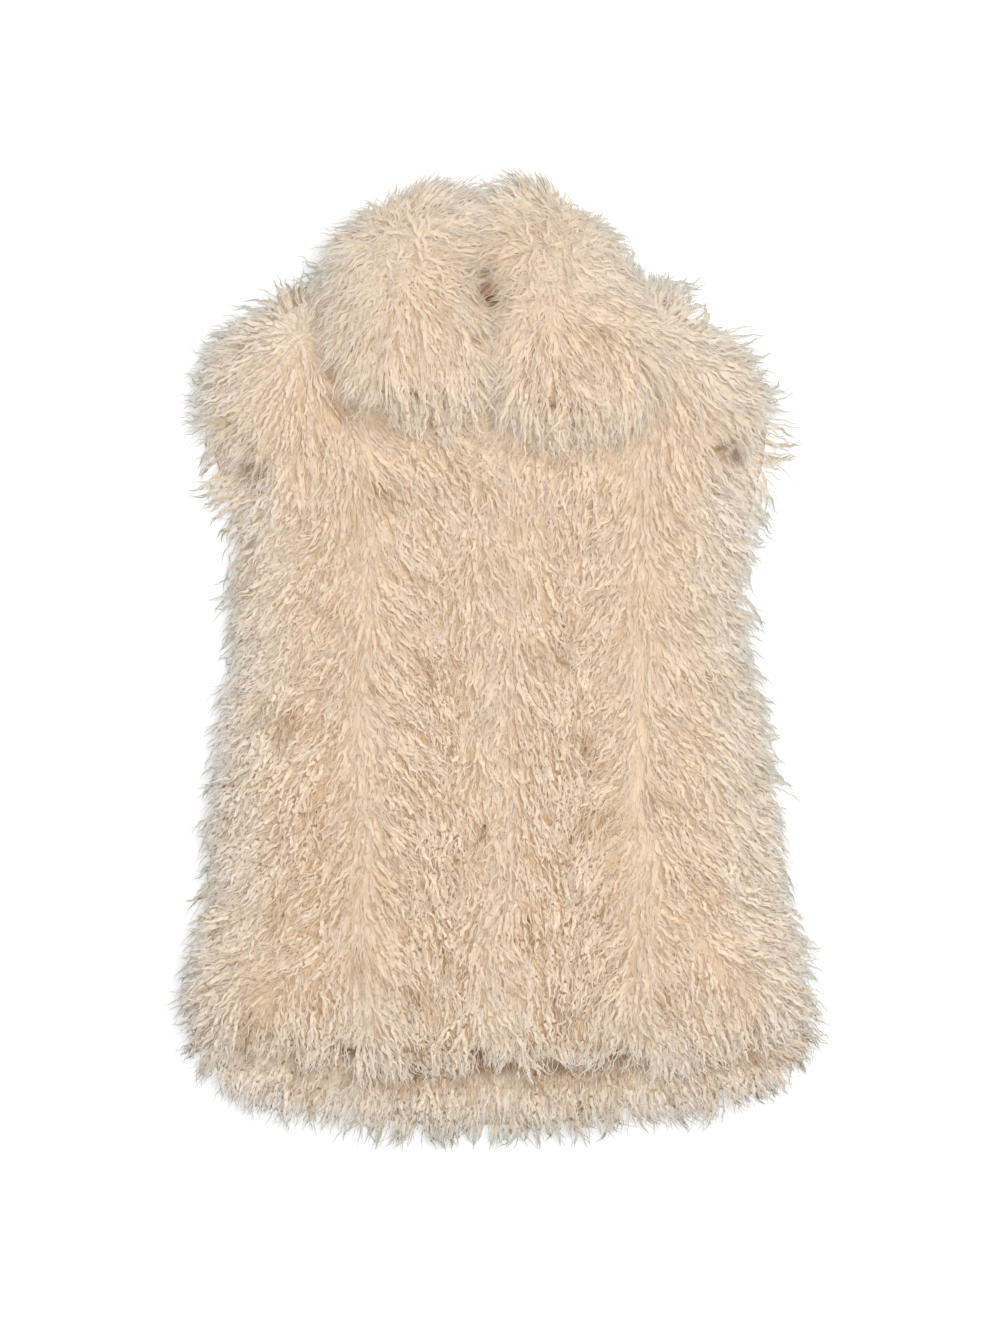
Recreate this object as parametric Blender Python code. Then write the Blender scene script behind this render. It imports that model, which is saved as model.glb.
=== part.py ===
"""A hip-length fur vest laid flat on its back: a back, two fronts that meet edge to edge, and a fold-over
collar in two halves. Each piece is a pelt: its skin side is plain, and its outer points follow the fur's
reach, the partings of the nap and the larger locks. +X is to the right as seen from above, +Y runs to the
collar and the vest lies on Z = 0. Right and left in the names are the wearer's: the right front is at -X."""

import math
from collections import namedtuple

import bmesh
import bpy

# Driving dimensions in metres
BACK_HEIGHT = 0.016          # pressed fur and skin of the back, where the fronts lie on it
HEM_ROLL_HEIGHT = 0.027      # the back's fur where it stands up below the front hem
FRONT_HEIGHT = 0.029         # skin and standing fur of a front
PRESSED_HEIGHT = 0.021       # the same under the collar
COLLAR_HEIGHT = 0.043        # the folded collar at its roll
COLLAR_BACK_HEIGHT = 0.068   # the collar behind the neck, from the floor up
SEAM_GAP = 0.0003            # between pieces that meet
EDGE_CLEARANCE = 0.0012      # added where two curved edges lie on each other
EDGE_THICKNESS = 0.0025      # fur left at the very edge of a piece
TIP_LIFT = 0.0020            # fur tips of the back above the floor
ON_EDGE = 1e-6               # share of a piece's width or length that counts as its edge
SIDE_ROUND = 0.030           # how far in from its edge a front reaches full height
HEM_ROUND = 0.036
BACK_ROUND = 0.024
COLLAR_ROUND = 0.030
NECK_ROUND = 0.020
NECK_ROUND_START = 0.004     # a front is this far into its round where it ends at the neck
FRONT_EDGE_DIP = 0.003       # dip where the two fronts meet
FRONT_EDGE_DIP_WIDTH = 0.010
HEM_ROLL_RISE = 0.016        # below the front hem, where the back's fur has risen to its roll
HEM_ROLL_ROUND = 0.016       # added to the back's round at the roll
CLEARANCE_DROOP = 0.002      # the edge clearance is full where the back droops this much

# Relief of the fur: overlapping locks, each row starting a little off the last
LOCK_WIDTH = 0.021
LOCK_LENGTH = 0.048
LOCK_HEIGHT = 0.0056
LOCK_FADE = 0.018            # in from an edge, where locks have risen to full height
LOCK_FULLNESS = 1.6          # above 1, a lock is fullest near its tip
LOCK_STAGGER = 0.21          # share of a lock's length
LOCK_STAGGER_TURN = 2.3      # radians from one row to the next
PARTING_RISE = 0.0035
VALLEY_FALL = 0.0030
PARTING_WIDTH = 0.016
PARTING_TURN = 0.003         # the nap turns over this far to each side of a parting
TUCK_DEPTH = 0.006           # the soft hollows across the waist
TUCK_LENGTH = 0.11
TUCK_PITCH = 0.30
TUCK_Y = 0.02
BACK_HEM_LEAN = 30.0         # degrees from straight down, of the back's fur at its hem corners

# Tufts along the edges: their spacing, reach and how uneven they are
TUFT_PITCH = 0.030
TUFT_REACH = 0.011           # how far a tuft stands out past its neighbours
TUFT_ROUNDNESS = 0.8
TUFT_SWAY = 0.30             # share of the pitch
TUFT_SWAY_LENGTH = 0.104
TUFT_SIZE_SWING = 0.38
TUFT_SIZE_TURN = 2.4         # radians from one tuft to the next
TUFT_SIZE_START = 0.6
BACK_TUFT_LEVEL = 0.5        # share of a tuft that lies inside the outline
FRONT_TUFT_LEVEL = 0.8
FRONT_TUFT_SHIFT = 0.012     # the fronts' tufts lie between the back's
BACK_SIDE_TUFTS = 0.14       # share of a piece's half width, or length, that the tufts bend
FRONT_SIDE_TUFTS = 0.24
HEM_TUFTS = 0.04

# Grid of each piece: squares across and along
BACK_GRID = (38, 58)
FRONT_GRID = (25, 84)
COLLAR_GRID = (18, 44)

# Hem lines: the middle hangs lower than the corners
BACK_HEM_BOW = 0.034
FRONT_HEM_BOW = 0.012
BOW_FADE = 0.14              # the bow has died out this far above the hem

# Outline of the laid body, by height: how far the fur of the back and of the fronts reaches on each side,
# and how far the neckline has left the centre front
BodySection = namedtuple("BodySection", "y back_right back_left front_right front_left neck_setback")
BODY = [
    BodySection(-0.350, -0.222, 0.238, -0.214, 0.222, 0.000),
    BodySection(-0.318, -0.246, 0.254, -0.234, 0.240, 0.000),
    BodySection(-0.288, -0.258, 0.259, -0.251, 0.252, 0.000),
    BodySection(-0.240, -0.252, 0.255, -0.246, 0.249, 0.000),
    BodySection(-0.180, -0.239, 0.238, -0.233, 0.231, 0.000),
    BodySection(-0.100, -0.233, 0.231, -0.227, 0.225, 0.000),
    BodySection(-0.020, -0.222, 0.217, -0.215, 0.210, 0.000),
    BodySection(0.050, -0.219, 0.205, -0.212, 0.198, 0.000),
    BodySection(0.105, -0.222, 0.214, -0.213, 0.203, 0.000),
    BodySection(0.126, -0.230, 0.222, -0.208, 0.198, 0.000),
    BodySection(0.146, -0.238, 0.227, -0.190, 0.182, 0.000),
    BodySection(0.162, -0.241, 0.229, -0.206, 0.196, 0.000),
    BodySection(0.176, -0.243, 0.230, -0.231, 0.217, 0.000),
    BodySection(0.192, -0.245, 0.231, -0.234, 0.220, 0.000),
    BodySection(0.212, -0.245, 0.228, -0.239, 0.222, 0.000),
    BodySection(0.236, -0.238, 0.214, -0.232, 0.208, 0.000),
    BodySection(0.258, -0.226, 0.195, -0.220, 0.189, 0.006),
    BodySection(0.282, -0.202, 0.168, -0.195, 0.161, 0.028),
    BodySection(0.306, -0.158, 0.138, -0.150, 0.130, 0.052),
    BodySection(0.328, -0.118, 0.104, -0.110, 0.096, 0.070),
]
FRONT_HEM = -0.314
CENTRE_AT_HEM = 0.006        # the centre front leans a little to one side
CENTRE_AT_NECK = -0.008

# Partings and valleys of the nap across the fronts, with the lean of the fur on each side of them in degrees
# from straight down (positive to +X)
NapLine = namedtuple("NapLine", "x rise lean_before lean_after")
NAP = [
    NapLine(-0.106, PARTING_RISE, -42, 30),
    NapLine(-0.034, -VALLEY_FALL, 24, -20),
    NapLine(0.006, PARTING_RISE, -20, 24),
    NapLine(0.058, -VALLEY_FALL, 20, -24),
    NapLine(0.115, PARTING_RISE, -30, 42),
]

# Round swells of the lower fronts
Swell = namedtuple("Swell", "x y radius rise")
SWELLS = [
    Swell(-0.172, -0.256, 0.052, 0.008),
    Swell(0.190, -0.250, 0.050, 0.009),
    Swell(0.010, -0.285, 0.070, 0.004),
]

# The collar halves, from the centre back round to the front end: the neck edge, the fall's edge and the share
# of full height that the roll has there
CollarSection = namedtuple("CollarSection", "neck_x neck_y fall_x fall_y height")
COLLAR_RIGHT = [
    CollarSection(-0.00815, 0.3120, -0.00815, 0.3740, 0.90),
    CollarSection(-0.0150, 0.3115, -0.0580, 0.3850, 0.94),
    CollarSection(-0.0205, 0.3075, -0.1140, 0.3600, 0.98),
    CollarSection(-0.0205, 0.2990, -0.1390, 0.3020, 1.00),
    CollarSection(-0.0165, 0.2850, -0.1370, 0.2400, 1.00),
    CollarSection(-0.0115, 0.2630, -0.1060, 0.1980, 0.95),
    CollarSection(-0.0085, 0.2400, -0.0540, 0.1880, 0.82),
    CollarSection(-0.0080, 0.2180, -0.0160, 0.1920, 0.62),
]
COLLAR_LEFT = [
    CollarSection(-0.00785, 0.3120, -0.00785, 0.3740, 0.90),
    CollarSection(-0.0010, 0.3120, 0.0360, 0.3900, 0.96),
    CollarSection(0.0025, 0.3080, 0.0800, 0.3620, 1.00),
    CollarSection(0.0010, 0.2990, 0.1170, 0.3130, 1.00),
    CollarSection(-0.0015, 0.2850, 0.1430, 0.2500, 1.00),
    CollarSection(-0.0030, 0.2630, 0.1270, 0.1930, 0.96),
    CollarSection(-0.0038, 0.2380, 0.0640, 0.1760, 0.86),
    CollarSection(-0.0042, 0.2140, 0.0070, 0.1840, 0.62),
]
OUTLINE_STEPS = 24
PRESS_MARGIN = 0.014         # the collar presses the fronts down this far past its edge
PRESS_FADE = 0.018
ROLL_PLACE = 0.42            # where the roll stands between the neck edge and the fall's edge
ROLL_FULLNESS = 2.6          # how square the collar's section is, from the roll in to the neck
FALL_FULLNESS = 2.2          # the same from the roll out to the fall's edge
COLLAR_DROP_START = 0.3390   # behind the neck the collar comes down off the shoulders
COLLAR_DROP_END = 0.3530
COLLAR_DROP_LEAD = 0.012     # its top comes down this much sooner
COLLAR_FLOOR_LIFT = 0.0015
COLLAR_DEPTH = 0.10          # about, from the neck edge to the fall's edge
COLLAR_EDGE_LENGTH = 0.30    # about, along the fall's edge of one half
COLLAR_END_LENGTH = 0.16     # the length that the front end's round is measured on
NECK_MIDDLE_Y = 0.30         # the collar's fur leans out from here
NECK_MIDDLE_ROW = 3

# Shares of the way across a collar half, or along it from the centre back, between which a form sets in
Fade = namedtuple("Fade", "start end")
COLLAR_TUFTS_ACROSS = Fade(0.70, 1.00)
COLLAR_TUFTS_ALONG = Fade(0.00, 0.12)
COLLAR_LOCKS_ACROSS = Fade(0.20, 0.50)
COLLAR_LOCKS_ALONG = Fade(0.00, 0.15)

# Finish: colour, and the same roughness for all the fur
FUR_ROUGHNESS = 0.9
BACK_COLOUR = (0.66, 0.53, 0.39, 1.0)
FRONT_COLOUR = (0.75, 0.58, 0.41, 1.0)
COLLAR_COLOUR = (0.77, 0.61, 0.44, 1.0)

FRONT_LEVEL = BACK_HEIGHT + SEAM_GAP
COLLAR_LEVEL = FRONT_LEVEL + PRESSED_HEIGHT + SEAM_GAP
NECK_TOP = BODY[-1].y
BACK_HEM = BODY[0].y


def smooth_step(start, end, value):
    """0 before start, 1 after end, with an even S between them."""
    share = min(1.0, max(0.0, (value - start) / (end - start)))
    return share * share * (3.0 - 2.0 * share)


def through_rows(places, values, place):
    """A smooth curve through a table's values, read at a place between its rows."""
    last = len(places) - 1
    place = min(max(place, places[0]), places[last])
    row = next(i for i in range(last) if place <= places[i + 1])
    width = places[row + 1] - places[row]
    share = (place - places[row]) / width

    def slope(i):
        low, high = max(i - 1, 0), min(i + 1, last)
        return (values[high] - values[low]) / (places[high] - places[low])

    cube, square = share ** 3, share ** 2
    return ((2 * cube - 3 * square + 1) * values[row] + (3 * square - 2 * cube) * values[row + 1]
            + width * ((cube - 2 * square + share) * slope(row) + (cube - square) * slope(row + 1)))


def body_edge(column, y):
    return through_rows([row.y for row in BODY], [getattr(row, column) for row in BODY], y)


def neck_setback(y):
    return max(0.0, body_edge("neck_setback", y))


def centre_front(y):
    """The line where the fronts meet, leaning from the hem to the neck."""
    share = (y - FRONT_HEM) / (NECK_TOP - FRONT_HEM)
    return CENTRE_AT_HEM + (CENTRE_AT_NECK - CENTRE_AT_HEM) * share


def round_edge(distance, radius):
    """Share of full height at a distance in from an edge, as a quarter round."""
    share = min(1.0, max(0.0, distance / radius))
    return math.sqrt(1.0 - (1.0 - share) ** 2)


def tuft(place):
    """How far a tuft stands out at a place along an edge, 0 to 1, with tufts of uneven size and spacing."""
    turn = place / TUFT_PITCH + TUFT_SWAY * math.sin(2.0 * math.pi * place / TUFT_SWAY_LENGTH)
    swing = math.sin(TUFT_SIZE_TURN * math.floor(turn) + TUFT_SIZE_START)
    size = 1.0 - TUFT_SIZE_SWING * (1.0 - swing)
    return size * math.sin(math.pi * (turn % 1.0)) ** TUFT_ROUNDNESS


def hem_bow(x, half_width, bow, above_hem):
    """How far the hem line hangs below its corners, dying out above the hem."""
    across = min(1.0, abs(x) / half_width)
    return bow * (1.0 - across ** 2) * (1.0 - smooth_step(0.0, BOW_FADE, above_hem))


def nap_lean(x):
    """Lean of the fronts' fur from straight down, in degrees, between the partings and valleys."""
    places, leans = [], []
    for line in NAP:
        places += [line.x - PARTING_TURN, line.x + PARTING_TURN]
        leans += [line.lean_before, line.lean_after]
    if x <= places[0]:
        return leans[0]
    if x >= places[-1]:
        return leans[-1]
    step = next(i for i in range(len(places) - 1) if x <= places[i + 1])
    share = (x - places[step]) / (places[step + 1] - places[step])
    return leans[step] + (leans[step + 1] - leans[step]) * share


def locks(x, y, lean):
    """Relief of overlapping locks, staggered row by row and leaning with the nap, 0 to 1."""
    angle = math.radians(lean)
    along = x * math.sin(angle) - y * math.cos(angle)
    across = x * math.cos(angle) + y * math.sin(angle)
    row = math.floor(across / LOCK_WIDTH)
    side = (across / LOCK_WIDTH) % 1.0
    stagger = (row % 2) / 2.0 + LOCK_STAGGER * math.sin(LOCK_STAGGER_TURN * row)
    length = (along / LOCK_LENGTH + stagger) % 1.0
    return math.sin(math.pi * side) * math.sin(math.pi * length ** LOCK_FULLNESS)


def lock_relief(x, y, lean):
    """Height that the locks add to the fur or take from it."""
    return LOCK_HEIGHT * (locks(x, y, lean) - 0.5)


def back_edge_distance(x, y):
    """How far a point of the back lies in from its nearest edge."""
    sides = min(x - body_edge("back_right", y), body_edge("back_left", y) - x)
    hem_width = BODY[0].back_left
    hem = y - (BACK_HEM - hem_bow(x, hem_width, BACK_HEM_BOW, 0.0))
    return min(sides, hem, NECK_TOP - y)


def front_hem(x):
    return FRONT_HEM - hem_bow(x, BODY[1].front_left, FRONT_HEM_BOW, 0.0)


def back_top(x, y):
    """Top of the back: flat under the fronts, round at its edges, and a roll of fur below the front hem."""
    below_front = front_hem(x) - TUFT_REACH - y
    roll = smooth_step(0.0, HEM_ROLL_RISE, below_front)
    height = BACK_HEIGHT + (HEM_ROLL_HEIGHT - BACK_HEIGHT) * roll
    from_edge = back_edge_distance(x, y)
    lean = BACK_HEM_LEAN * x / BODY[0].back_left
    fur = lock_relief(x, y, lean) * smooth_step(0.0, LOCK_FADE, from_edge)
    at_edge = TIP_LIFT + EDGE_THICKNESS
    share = round_edge(from_edge, BACK_ROUND + HEM_ROLL_ROUND * roll)
    return at_edge + (height - at_edge) * share + roll * fur


def collar_outline(half):
    """Points along the fall's edge and back along the neck edge of a collar half."""
    rows = [float(i) for i in range(len(half))]
    places = [rows[-1] * i / OUTLINE_STEPS for i in range(OUTLINE_STEPS + 1)]

    def edge(x_column, y_column):
        xs, ys = ([getattr(row, column) for row in half] for column in (x_column, y_column))
        return [(through_rows(rows, xs, place), through_rows(rows, ys, place)) for place in places]

    return edge("fall_x", "fall_y") + edge("neck_x", "neck_y")[::-1]


def outside_by(outline, x, y):
    """How far a point lies outside a closed outline, 0 within it."""
    nearest, within = 1.0, False
    for (ax, ay), (bx, by) in zip(outline, outline[1:] + outline[:1]):
        if (ay > y) != (by > y) and x < ax + (bx - ax) * (y - ay) / (by - ay):
            within = not within
        length = (bx - ax) ** 2 + (by - ay) ** 2
        share = min(1.0, max(0.0, ((x - ax) * (bx - ax) + (y - ay) * (by - ay)) / length)) if length else 0.0
        nearest = min(nearest, math.hypot(x - ax - share * (bx - ax), y - ay - share * (by - ay)))
    return 0.0 if within else nearest


def under_collar(x, y):
    """1 where the collar presses on a front, 0 clear of it."""
    clear = min(outside_by(outline, x, y) for outline in COLLAR_OUTLINES)
    return 1.0 - smooth_step(PRESS_MARGIN, PRESS_MARGIN + PRESS_FADE, clear)


def front_top(x, y, side):
    """Top of a front: standing fur with partings, valleys, swells and locks, round at its edges."""
    edge = body_edge("front_right" if side < 0 else "front_left", y)
    from_side = abs(edge - x)
    from_centre = abs(x - centre_front(y)) - neck_setback(y)
    from_hem = y - front_hem(x)
    pressed = under_collar(x, y)
    fur = sum(line.rise * math.exp(-((x - line.x) / PARTING_WIDTH) ** 2) for line in NAP)
    fur += sum(s.rise * math.exp(-((x - s.x) ** 2 + (y - s.y) ** 2) / s.radius ** 2) for s in SWELLS)
    tuck_wave = (1.0 + math.sin(2.0 * math.pi * x / TUCK_PITCH)) / 2.0
    fur -= TUCK_DEPTH * tuck_wave * math.exp(-((y - TUCK_Y) / TUCK_LENGTH) ** 2)
    fur += lock_relief(x, y, nap_lean(x)) * smooth_step(0.0, LOCK_FADE, min(from_side, from_hem))
    fur -= FRONT_EDGE_DIP * math.exp(-(from_centre / FRONT_EDGE_DIP_WIDTH) ** 2)
    full = (FRONT_HEIGHT + fur) * (1.0 - pressed) + PRESSED_HEIGHT * pressed
    at_neck = round_edge(NECK_TOP - y + NECK_ROUND_START, NECK_ROUND)
    share = min(round_edge(from_side, SIDE_ROUND), round_edge(from_hem, HEM_ROUND), at_neck)
    under = front_underside(x, y)
    return under + EDGE_THICKNESS + (full - EDGE_THICKNESS - (under - FRONT_LEVEL)) * share


def front_underside(x, y):
    """Skin side of a front: it follows the back and droops with it at the edges."""
    flat = min(BACK_HEIGHT, back_top(x, y)) if y > front_hem(x) - TUFT_REACH else BACK_HEIGHT
    return flat + SEAM_GAP + EDGE_CLEARANCE * smooth_step(0.0, CLEARANCE_DROOP, BACK_HEIGHT - flat)


def make_pelt(name, grid, underside, top, material):
    """A closed pelt: one grid of points is the skin side, and the same grid raised is the fur's outer side.
    Both are functions of the place across and along the piece, from 0 to 1."""
    made = bmesh.new()
    bmesh.ops.create_grid(made, x_segments=grid[0], y_segments=grid[1], size=0.5)
    skin = made.verts[:]
    raised = bmesh.ops.extrude_face_region(made, geom=made.faces[:], use_keep_orig=True)
    fur = [item for item in raised["geom"] if isinstance(item, bmesh.types.BMVert)]
    for points, place in ((skin, underside), (fur, top)):
        for point in points:
            point.co = place(point.co.x + 0.5, point.co.y + 0.5)
    bmesh.ops.recalc_face_normals(made, faces=made.faces[:])
    mesh = bpy.data.meshes.new(name)
    made.to_mesh(mesh)
    made.free()
    mesh.shade_smooth()
    mesh.materials.append(material)
    return bpy.data.objects.new(name, mesh)


def fur_material(name, colour):
    material = bpy.data.materials.new(name)
    material.use_nodes = True
    shader = material.node_tree.nodes["Principled BSDF"]
    shader.inputs["Base Color"].default_value = colour
    shader.inputs["Roughness"].default_value = FUR_ROUGHNESS
    shader.inputs["Metallic"].default_value = 0.0
    return material


def back_plan(across, along):
    """A point of the back's outline grid, with tufts at its sides and hem."""
    y = BACK_HEM + (NECK_TOP - BACK_HEM) * along
    right, left = body_edge("back_right", y), body_edge("back_left", y)
    outward = 2.0 * across - 1.0
    at_side = math.copysign(smooth_step(1.0 - BACK_SIDE_TUFTS, 1.0, abs(outward)), outward)
    x = right + (left - right) * across + TUFT_REACH * (tuft(y) - BACK_TUFT_LEVEL) * at_side
    at_hem = 1.0 - smooth_step(0.0, HEM_TUFTS, along)
    y -= hem_bow(x, BODY[0].back_left, BACK_HEM_BOW, y - BACK_HEM)
    return x, y - TUFT_REACH * (tuft(x) - BACK_TUFT_LEVEL) * at_hem


def back_underside(across, along):
    x, y = back_plan(across, along)
    from_edge = min(across, 1.0 - across, along, 1.0 - along)
    return x, y, 0.0 if from_edge > ON_EDGE else TIP_LIFT


def back_outer(across, along):
    x, y = back_plan(across, along)
    return x, y, back_top(x, y)


def front_plan(side, across, along):
    """A point of a front's outline grid: across runs from the side edge to the centre front."""
    y = FRONT_HEM + (NECK_TOP - FRONT_HEM) * along
    edge = body_edge("front_right" if side < 0 else "front_left", y)
    inner = centre_front(y) + side * (SEAM_GAP / 2 + neck_setback(y))
    at_side = 1.0 - smooth_step(0.0, FRONT_SIDE_TUFTS, across)
    side_tuft = tuft(y + FRONT_TUFT_SHIFT) - FRONT_TUFT_LEVEL
    x = edge + (inner - edge) * across + side * TUFT_REACH * side_tuft * at_side
    at_hem = 1.0 - smooth_step(0.0, HEM_TUFTS, along)
    hem_tuft = tuft(x + FRONT_TUFT_SHIFT) - FRONT_TUFT_LEVEL
    y -= hem_bow(x, BODY[1].front_left, FRONT_HEM_BOW, y - FRONT_HEM)
    return x, y - TUFT_REACH * hem_tuft * at_hem


def make_front(name, side, material):
    def underside(across, along):
        x, y = front_plan(side, across, along)
        return x, y, front_underside(x, y)

    def outer(across, along):
        x, y = front_plan(side, across, along)
        return x, y, max(front_top(x, y, side), front_underside(x, y) + EDGE_THICKNESS)

    return make_pelt(name, FRONT_GRID, underside, outer, material)


def collar_plan(half, across, along):
    """A point of a collar half and its share of full height: across runs from the neck edge to the fall's
    edge, and along from the centre back."""
    rows = [float(i) for i in range(len(half))]
    place = along * rows[-1]

    def read(column):
        return through_rows(rows, [getattr(row, column) for row in half], place)

    neck_x, neck_y, fall_x, fall_y = (read(c) for c in ("neck_x", "neck_y", "fall_x", "fall_y"))
    fade = smooth_step(*COLLAR_TUFTS_ACROSS, across) * smooth_step(*COLLAR_TUFTS_ALONG, along)
    edge_tuft = tuft(COLLAR_EDGE_LENGTH * along) - BACK_TUFT_LEVEL
    across *= 1.0 + TUFT_REACH / COLLAR_DEPTH * edge_tuft * fade
    return neck_x + (fall_x - neck_x) * across, neck_y + (fall_y - neck_y) * across, read("height")


def collar_underside_height(y):
    """The collar lies on the fronts, and behind the neck it comes down to the floor."""
    drop = smooth_step(COLLAR_DROP_START, COLLAR_DROP_END, y)
    return COLLAR_LEVEL + (COLLAR_FLOOR_LIFT - COLLAR_LEVEL) * drop


def make_collar(name, half, material):
    def underside(across, along):
        x, y, _ = collar_plan(half, across, along)
        return x, y, collar_underside_height(y)

    def outer(across, along):
        x, y, share = collar_plan(half, across, along)
        if across > ROLL_PLACE:
            from_roll = ((across - ROLL_PLACE) / (1.0 - ROLL_PLACE)) ** FALL_FULLNESS
        else:
            from_roll = ((ROLL_PLACE - across) / ROLL_PLACE) ** ROLL_FULLNESS
        dome = math.sqrt(max(0.0, 1.0 - from_roll))
        end = round_edge((1.0 - along) * COLLAR_END_LENGTH, COLLAR_ROUND)
        crown = COLLAR_LEVEL + COLLAR_HEIGHT * share
        behind = smooth_step(COLLAR_DROP_START - COLLAR_DROP_LEAD, COLLAR_DROP_END, y)
        crown += (COLLAR_BACK_HEIGHT - crown) * behind
        under = collar_underside_height(y)
        lean = math.degrees(math.atan2(x - half[NECK_MIDDLE_ROW].neck_x, NECK_MIDDLE_Y - y))
        clear = smooth_step(*COLLAR_LOCKS_ACROSS, across) * smooth_step(*COLLAR_LOCKS_ALONG, along)
        fur = lock_relief(x, y, lean) * dome * end * clear
        body = (crown - under - EDGE_THICKNESS) * dome * end
        return x, y, under + EDGE_THICKNESS + max(0.0, body + fur)

    return make_pelt(name, COLLAR_GRID, underside, outer, material)


def clear_scene():
    for obj in list(bpy.data.objects):
        bpy.data.objects.remove(obj)


def lay_on_origin(pieces):
    """Parents the pieces to an empty that puts the middle of the laid vest over the origin."""
    base = bpy.data.objects.new("vest_base", None)
    points = [vertex.co for piece in pieces for vertex in piece.data.vertices]
    middle = [(min(p[axis] for p in points) + max(p[axis] for p in points)) / 2 for axis in (0, 1)]
    base.location = (-middle[0], -middle[1], 0.0)
    collection = bpy.data.collections.new("fur_vest")
    bpy.context.scene.collection.children.link(collection)
    collection.objects.link(base)
    for piece in pieces:
        collection.objects.link(piece)
        piece.parent = base


COLLAR_OUTLINES = [collar_outline(half) for half in (COLLAR_RIGHT, COLLAR_LEFT)]


def main():
    clear_scene()
    back_fur = fur_material("back_fur", BACK_COLOUR)
    front_fur = fur_material("front_fur", FRONT_COLOUR)
    collar_fur = fur_material("collar_fur", COLLAR_COLOUR)
    lay_on_origin([
        make_pelt("back_panel", BACK_GRID, back_underside, back_outer, back_fur),
        make_front("front_right", -1, front_fur),
        make_front("front_left", 1, front_fur),
        make_collar("collar_right", COLLAR_RIGHT, collar_fur),
        make_collar("collar_left", COLLAR_LEFT, collar_fur),
    ])


main()
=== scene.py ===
"""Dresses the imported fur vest. Each solid becomes a skin with dense underfur, laid just inside it, and wavy
locks grow from that skin along the nap, out to the solid's own reach. A plain studio and a camera looking
straight down finish the scene. Right and left are the wearer's: the right front is at -X."""

import math
from collections import namedtuple
from functools import cache

import bpy
import numpy as np
from bpy.props import FloatProperty, FloatVectorProperty, IntProperty, PointerProperty
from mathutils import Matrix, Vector
from mathutils.bvhtree import BVHTree


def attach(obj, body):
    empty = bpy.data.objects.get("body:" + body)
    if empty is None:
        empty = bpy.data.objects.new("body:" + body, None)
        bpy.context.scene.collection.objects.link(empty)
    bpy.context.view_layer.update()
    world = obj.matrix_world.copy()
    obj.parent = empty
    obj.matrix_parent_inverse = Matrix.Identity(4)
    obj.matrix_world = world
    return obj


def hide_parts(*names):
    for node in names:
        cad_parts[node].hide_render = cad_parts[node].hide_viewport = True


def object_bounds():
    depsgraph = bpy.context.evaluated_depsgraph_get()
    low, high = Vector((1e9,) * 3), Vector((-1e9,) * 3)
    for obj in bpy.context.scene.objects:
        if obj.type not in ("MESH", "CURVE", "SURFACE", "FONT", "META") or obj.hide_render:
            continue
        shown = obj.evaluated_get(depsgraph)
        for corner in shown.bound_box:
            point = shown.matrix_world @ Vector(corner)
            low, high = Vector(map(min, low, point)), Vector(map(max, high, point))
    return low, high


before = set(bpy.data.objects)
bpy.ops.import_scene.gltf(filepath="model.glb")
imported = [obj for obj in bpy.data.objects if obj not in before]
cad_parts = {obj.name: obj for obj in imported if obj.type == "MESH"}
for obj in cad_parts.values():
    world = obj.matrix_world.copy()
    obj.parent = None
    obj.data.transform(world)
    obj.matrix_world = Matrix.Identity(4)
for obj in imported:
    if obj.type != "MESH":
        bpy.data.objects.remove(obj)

bl_info = {
    "name": "Fur Vest",
    "version": (1, 0, 0),
    "blender": (4, 5, 0),
    "location": "3D View > Sidebar > Fur Vest",
    "description": "Lays the skins of a fur vest inside its solids, grows the fur and sets the studio",
    "category": "Object",
}

CAD_BOUNDS = [list(corner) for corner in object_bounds()]

# Rows that tables share: a stretch over which a change sets in, and an oval place with its depth
Span = namedtuple("Span", "start end")
Spot = namedtuple("Spot", "x y wide tall depth", defaults=[1.0])

# How each skin is lofted: its solid and slot, its grid, which edges have a rim, how far in it is cut, and how
# thick it may be; and its cut: flat size, area and what it rests on
Skin = namedtuple("Skin", "node slot across along rims inset thickest flat area rests_on")
Rims = namedtuple("Rims", "start end first last")
SKINS = [
    Skin("back_panel", "back_fur", 40, 60, Rims(True, True, True, True), 0.012, 0.020,
         (0.48, 0.67), 0.29, ()),
    Skin("front_right", "front_fur", 27, 78, Rims(True, False, True, True), 0.012, 0.020,
         (0.24, 0.61), 0.118, ("back_skin",)),
    Skin("front_left", "front_fur", 27, 78, Rims(False, True, True, True), 0.012, 0.020,
         (0.24, 0.61), 0.118, ("back_skin",)),
    Skin("collar_right", "collar_fur", 14, 36, Rims(True, True, False, True), 0.022, 0.016,
         (0.11, 0.27), 0.020, ("front_right_skin",)),
    Skin("collar_left", "collar_fur", 14, 38, Rims(True, True, False, True), 0.022, 0.016,
         (0.12, 0.29), 0.024, ("front_left_skin",)),
]
NECK_INSET = 0.008
SEAM_INSET = 0.0005
BEHIND_NECK_INSET = 3.0 * SEAM_INSET
THINNEST_SKIN = 0.003
RIM_HEIGHTS = [0.12, 0.48, 0.82]  # rings of a skin's upright rim, as shares of its height
OUTLINE_ROWS = 161
OUTLINE_STEP = 0.0005
REACH_SMOOTHING = 9  # rows averaged to take the tufts out of a solid's outline
SKIN_SMOOTHING = 3
CUT_SHARES = np.linspace(-0.98, 0.98, 15)  # of an inset, along the outline that it is kept from
INWARD_SHARES = np.linspace(0.0, 0.25, 11)  # of the way in to a row's middle, past a tufted outline
SOUNDING_GAP = 0.01  # how far above and below a solid its surface is looked for from
MOST_AT_ONCE = 500  # points whose distances are worked out together

# The collar halves are lofted round a point in the neck slit, one to each side of it
FAN_CENTRE = (-0.0086, 0.296)
FAN_RADIUS = 0.1
COLLAR_SIDES = {"collar_right": -1.0, "collar_left": 1.0}

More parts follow.
